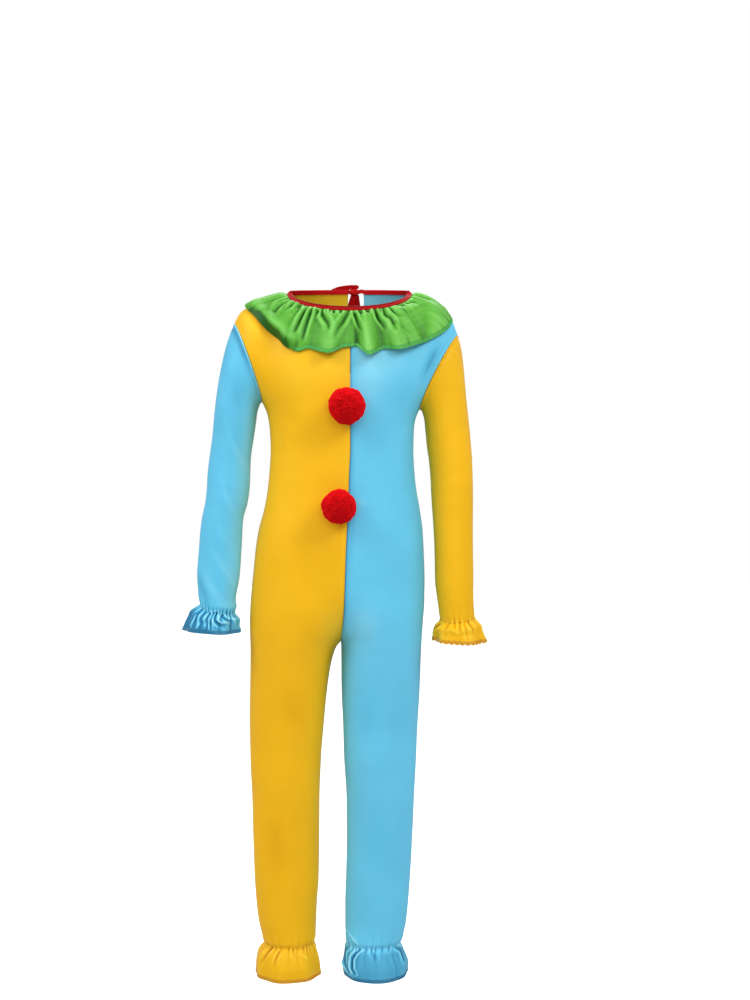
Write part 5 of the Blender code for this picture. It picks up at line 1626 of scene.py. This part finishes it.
def sew_sleeve(half, kit):
    key, colour = f"sleeve_{half.name}", half.sleeve_cloth
    blue = colour == "blue"
    base, grid, out, folds, elastic = make_sleeve(half)
    whole = turned_in(grid, out, half)
    whole_out = out_of(whole, half.sign < 0, True)
    line = half.sleeve[SLEEVE_ELASTIC].outer_z
    placed = np.concatenate([0 * folds[:2], folds])
    # painted shade in hollows and painted highlight on folds, then painted shade below the blue frill
    painted_shading = relief_of(whole, whole_out, CLOTH_RELIEF, closed=True) + PLACED_SHADE * placed
    painted_shading = np.clip(painted_shading, -1, 1)
    painted_shading = painted_frill_shade(painted_shading, whole, line, 0.7 if blue else 0.0)
    # painted light on the side of the sleeve that faces the body
    painted_shading += (0.4 if blue else 0.15) * ramp(-half.sign * whole_out[..., 0] - 0.15)
    if blue:
        painted_shading += blue_sleeve_painted_light(whole, line)
    sleeve = sew_cloth(key, whole, whole_out, painted_shading, colour, [f"{key}_upper", f"{key}_lower"], kit, True)
    sew_edges(key, grid, out, elastic, True, colour, kit)
    return base


def sew_ruffle(place, normal, grids, kit):
    """The ruffle and the overlock on its hem and its two ends."""
    grid, out, under, rolled = make_ruffle(place, normal, surface_tree(grids))
    # painted shade where the hem rolls under
    painted_shading = relief_of(grid, out, RUFFLE_RELIEF, down=True) - under
    ruffle = sew_cloth("neck_ruffle", grid, out, painted_shading, "green", ["neck_ruffle"], kit)
    shown = np.flatnonzero(rolled < 0.25)  # elsewhere the stitches lie under the rolled hem
    runs = np.split(shown, np.flatnonzero(np.diff(shown) > 1) + 1)
    edges = [[rows[run] for rows in hem_of(grid, out)] for run in runs]
    for end, beside in ((0, 1), (-1, -2)):
        edges.append((grid[:, end], grid[:, beside] - grid[:, end], out[:, end]))
    hems = [overlock(*edge) for edge in edges]
    stitches, needle_rows = sum((hem[:-1] for hem in hems), []), [hem[-1] for hem in hems]
    slot, thread = "green_satin_knit", kit.threads["green"]
    sewing = [
        sew("neck_ruffle_hem_stitches", kit.thread_tree, stitches, THREAD, thread.hem),
        sew(
            "neck_ruffle_hem_needle_row", kit.thread_tree, needle_rows, RUFFLE_NEEDLE,
            thread.needle),
    ]


def sew_neck(panels, grids, kit):
    """The knot, the ruffle, and the binding with its topstitching."""
    lump = knot_grid()
    # painted shade where the knot's wraps part
    parting = relief_of(lump, out_of(lump, closed=True), KNOT_RELIEF, closed=True)
    parting = np.minimum(0, 1.2 * parting)
    knot = add_tape("bow_knot_tape", "bow_knot", kit, lump, BINDING_TAPE_THICK, parting, True)
    place, normal = neck_line(panels)
    sew_ruffle(place, normal, grids, kit)
    grid, painted_shading, length = make_binding(place, normal)
    binding = add_tape("neck_binding_tape", "neck_binding", kit, grid, BINDING_TAPE_THICK, painted_shading)
    low, out = spaced(grid[:, 1], TOPSTITCH_PITCH, out_of(grid)[:, 1])
    top = [(low + out * 0.1, np.gradient(low, axis=0) * 0.72, out)]
    topstitch = sew(
        "neck_binding_topstitch", kit.thread_tree, top, FINE_THREAD, kit.topstitch,
        TOPSTITCH_ARCH)


def sew_bow(panels, kit):
    """The loop and the two tails of the bow, which hang over the back."""
    path = smooth_path(LOOP, LOOP_POINTS)
    x, ends = path[:, 0], [stop[0] for stop in LOOP]
    opened = 1 - 0.5 * bell(x - min(ends), 9) - 0.4 * bell(x - max(ends), 4)
    grid = flat_tape(path, (0, -0.45, 1), TAPE_WIDTH, opened)
    loop = add_tape("bow_loop_tape", "bow_loop", kit, grid, BOW_TAPE_THICK)
    back_edge = panels["right", "back"][:, 0]
    for tail in TAILS:
        z = np.linspace(KNOT[2] - KNOT_SIZE[2] + 0.6, tail.end_z, TAIL_POINTS)
        x = hermite([tail.end_z, -35, z[0]], [tail.end_x, tail.spread_x, tail.top_x], z)
        y = np.interp(-z, -back_edge[:, 2], back_edge[:, 1]) + TAPE_THICK / 2 + tail.off
        y = evened(np.maximum(y, KNOT[1] - 2 + tail.off), 6)
        curl = 1.2 * np.sin(np.linspace(0, 5.0, TAIL_POINTS) + tail.off)
        grid = flat_tape(points(x + curl, y, z), (1, 0, 0), TAIL_WIDTH, np.ones(TAIL_POINTS))
        piece = add_tape(f"{tail.name}_tape", tail.name, kit, grid, BOW_TAPE_THICK)


def dress():
    add_camera()
    kit = gather_kit()
    panels, grids = {}, []
    for half in (RIGHT, LEFT):
        for face in ("front", "back"):
            panels[half.name, face] = sew_panel(half, face, kit)
            grids.append(panels[half.name, face][::2, ::3])
        grids.append(sew_sleeve(half, kit)[::2, ::4])
    sew_neck(panels, grids, kit)
    sew_bow(panels, kit)
    front = panels["right", "front"][:, 0]
    for spec in POMPOMS:
        front_y = float(np.interp(-spec.z, -front[:, 2], front[:, 1]))
        make_pompom(spec, kit.pile_tree, front_y, kit.yarn)
    for name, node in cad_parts.items():
        if name.startswith("elastic_"):
            node.data.materials.clear()
            node.data.materials.append(kit.elastic)
    add_floor()
    for light in LIGHTS:
        add_light(*light)
    add_surroundings()


dress()
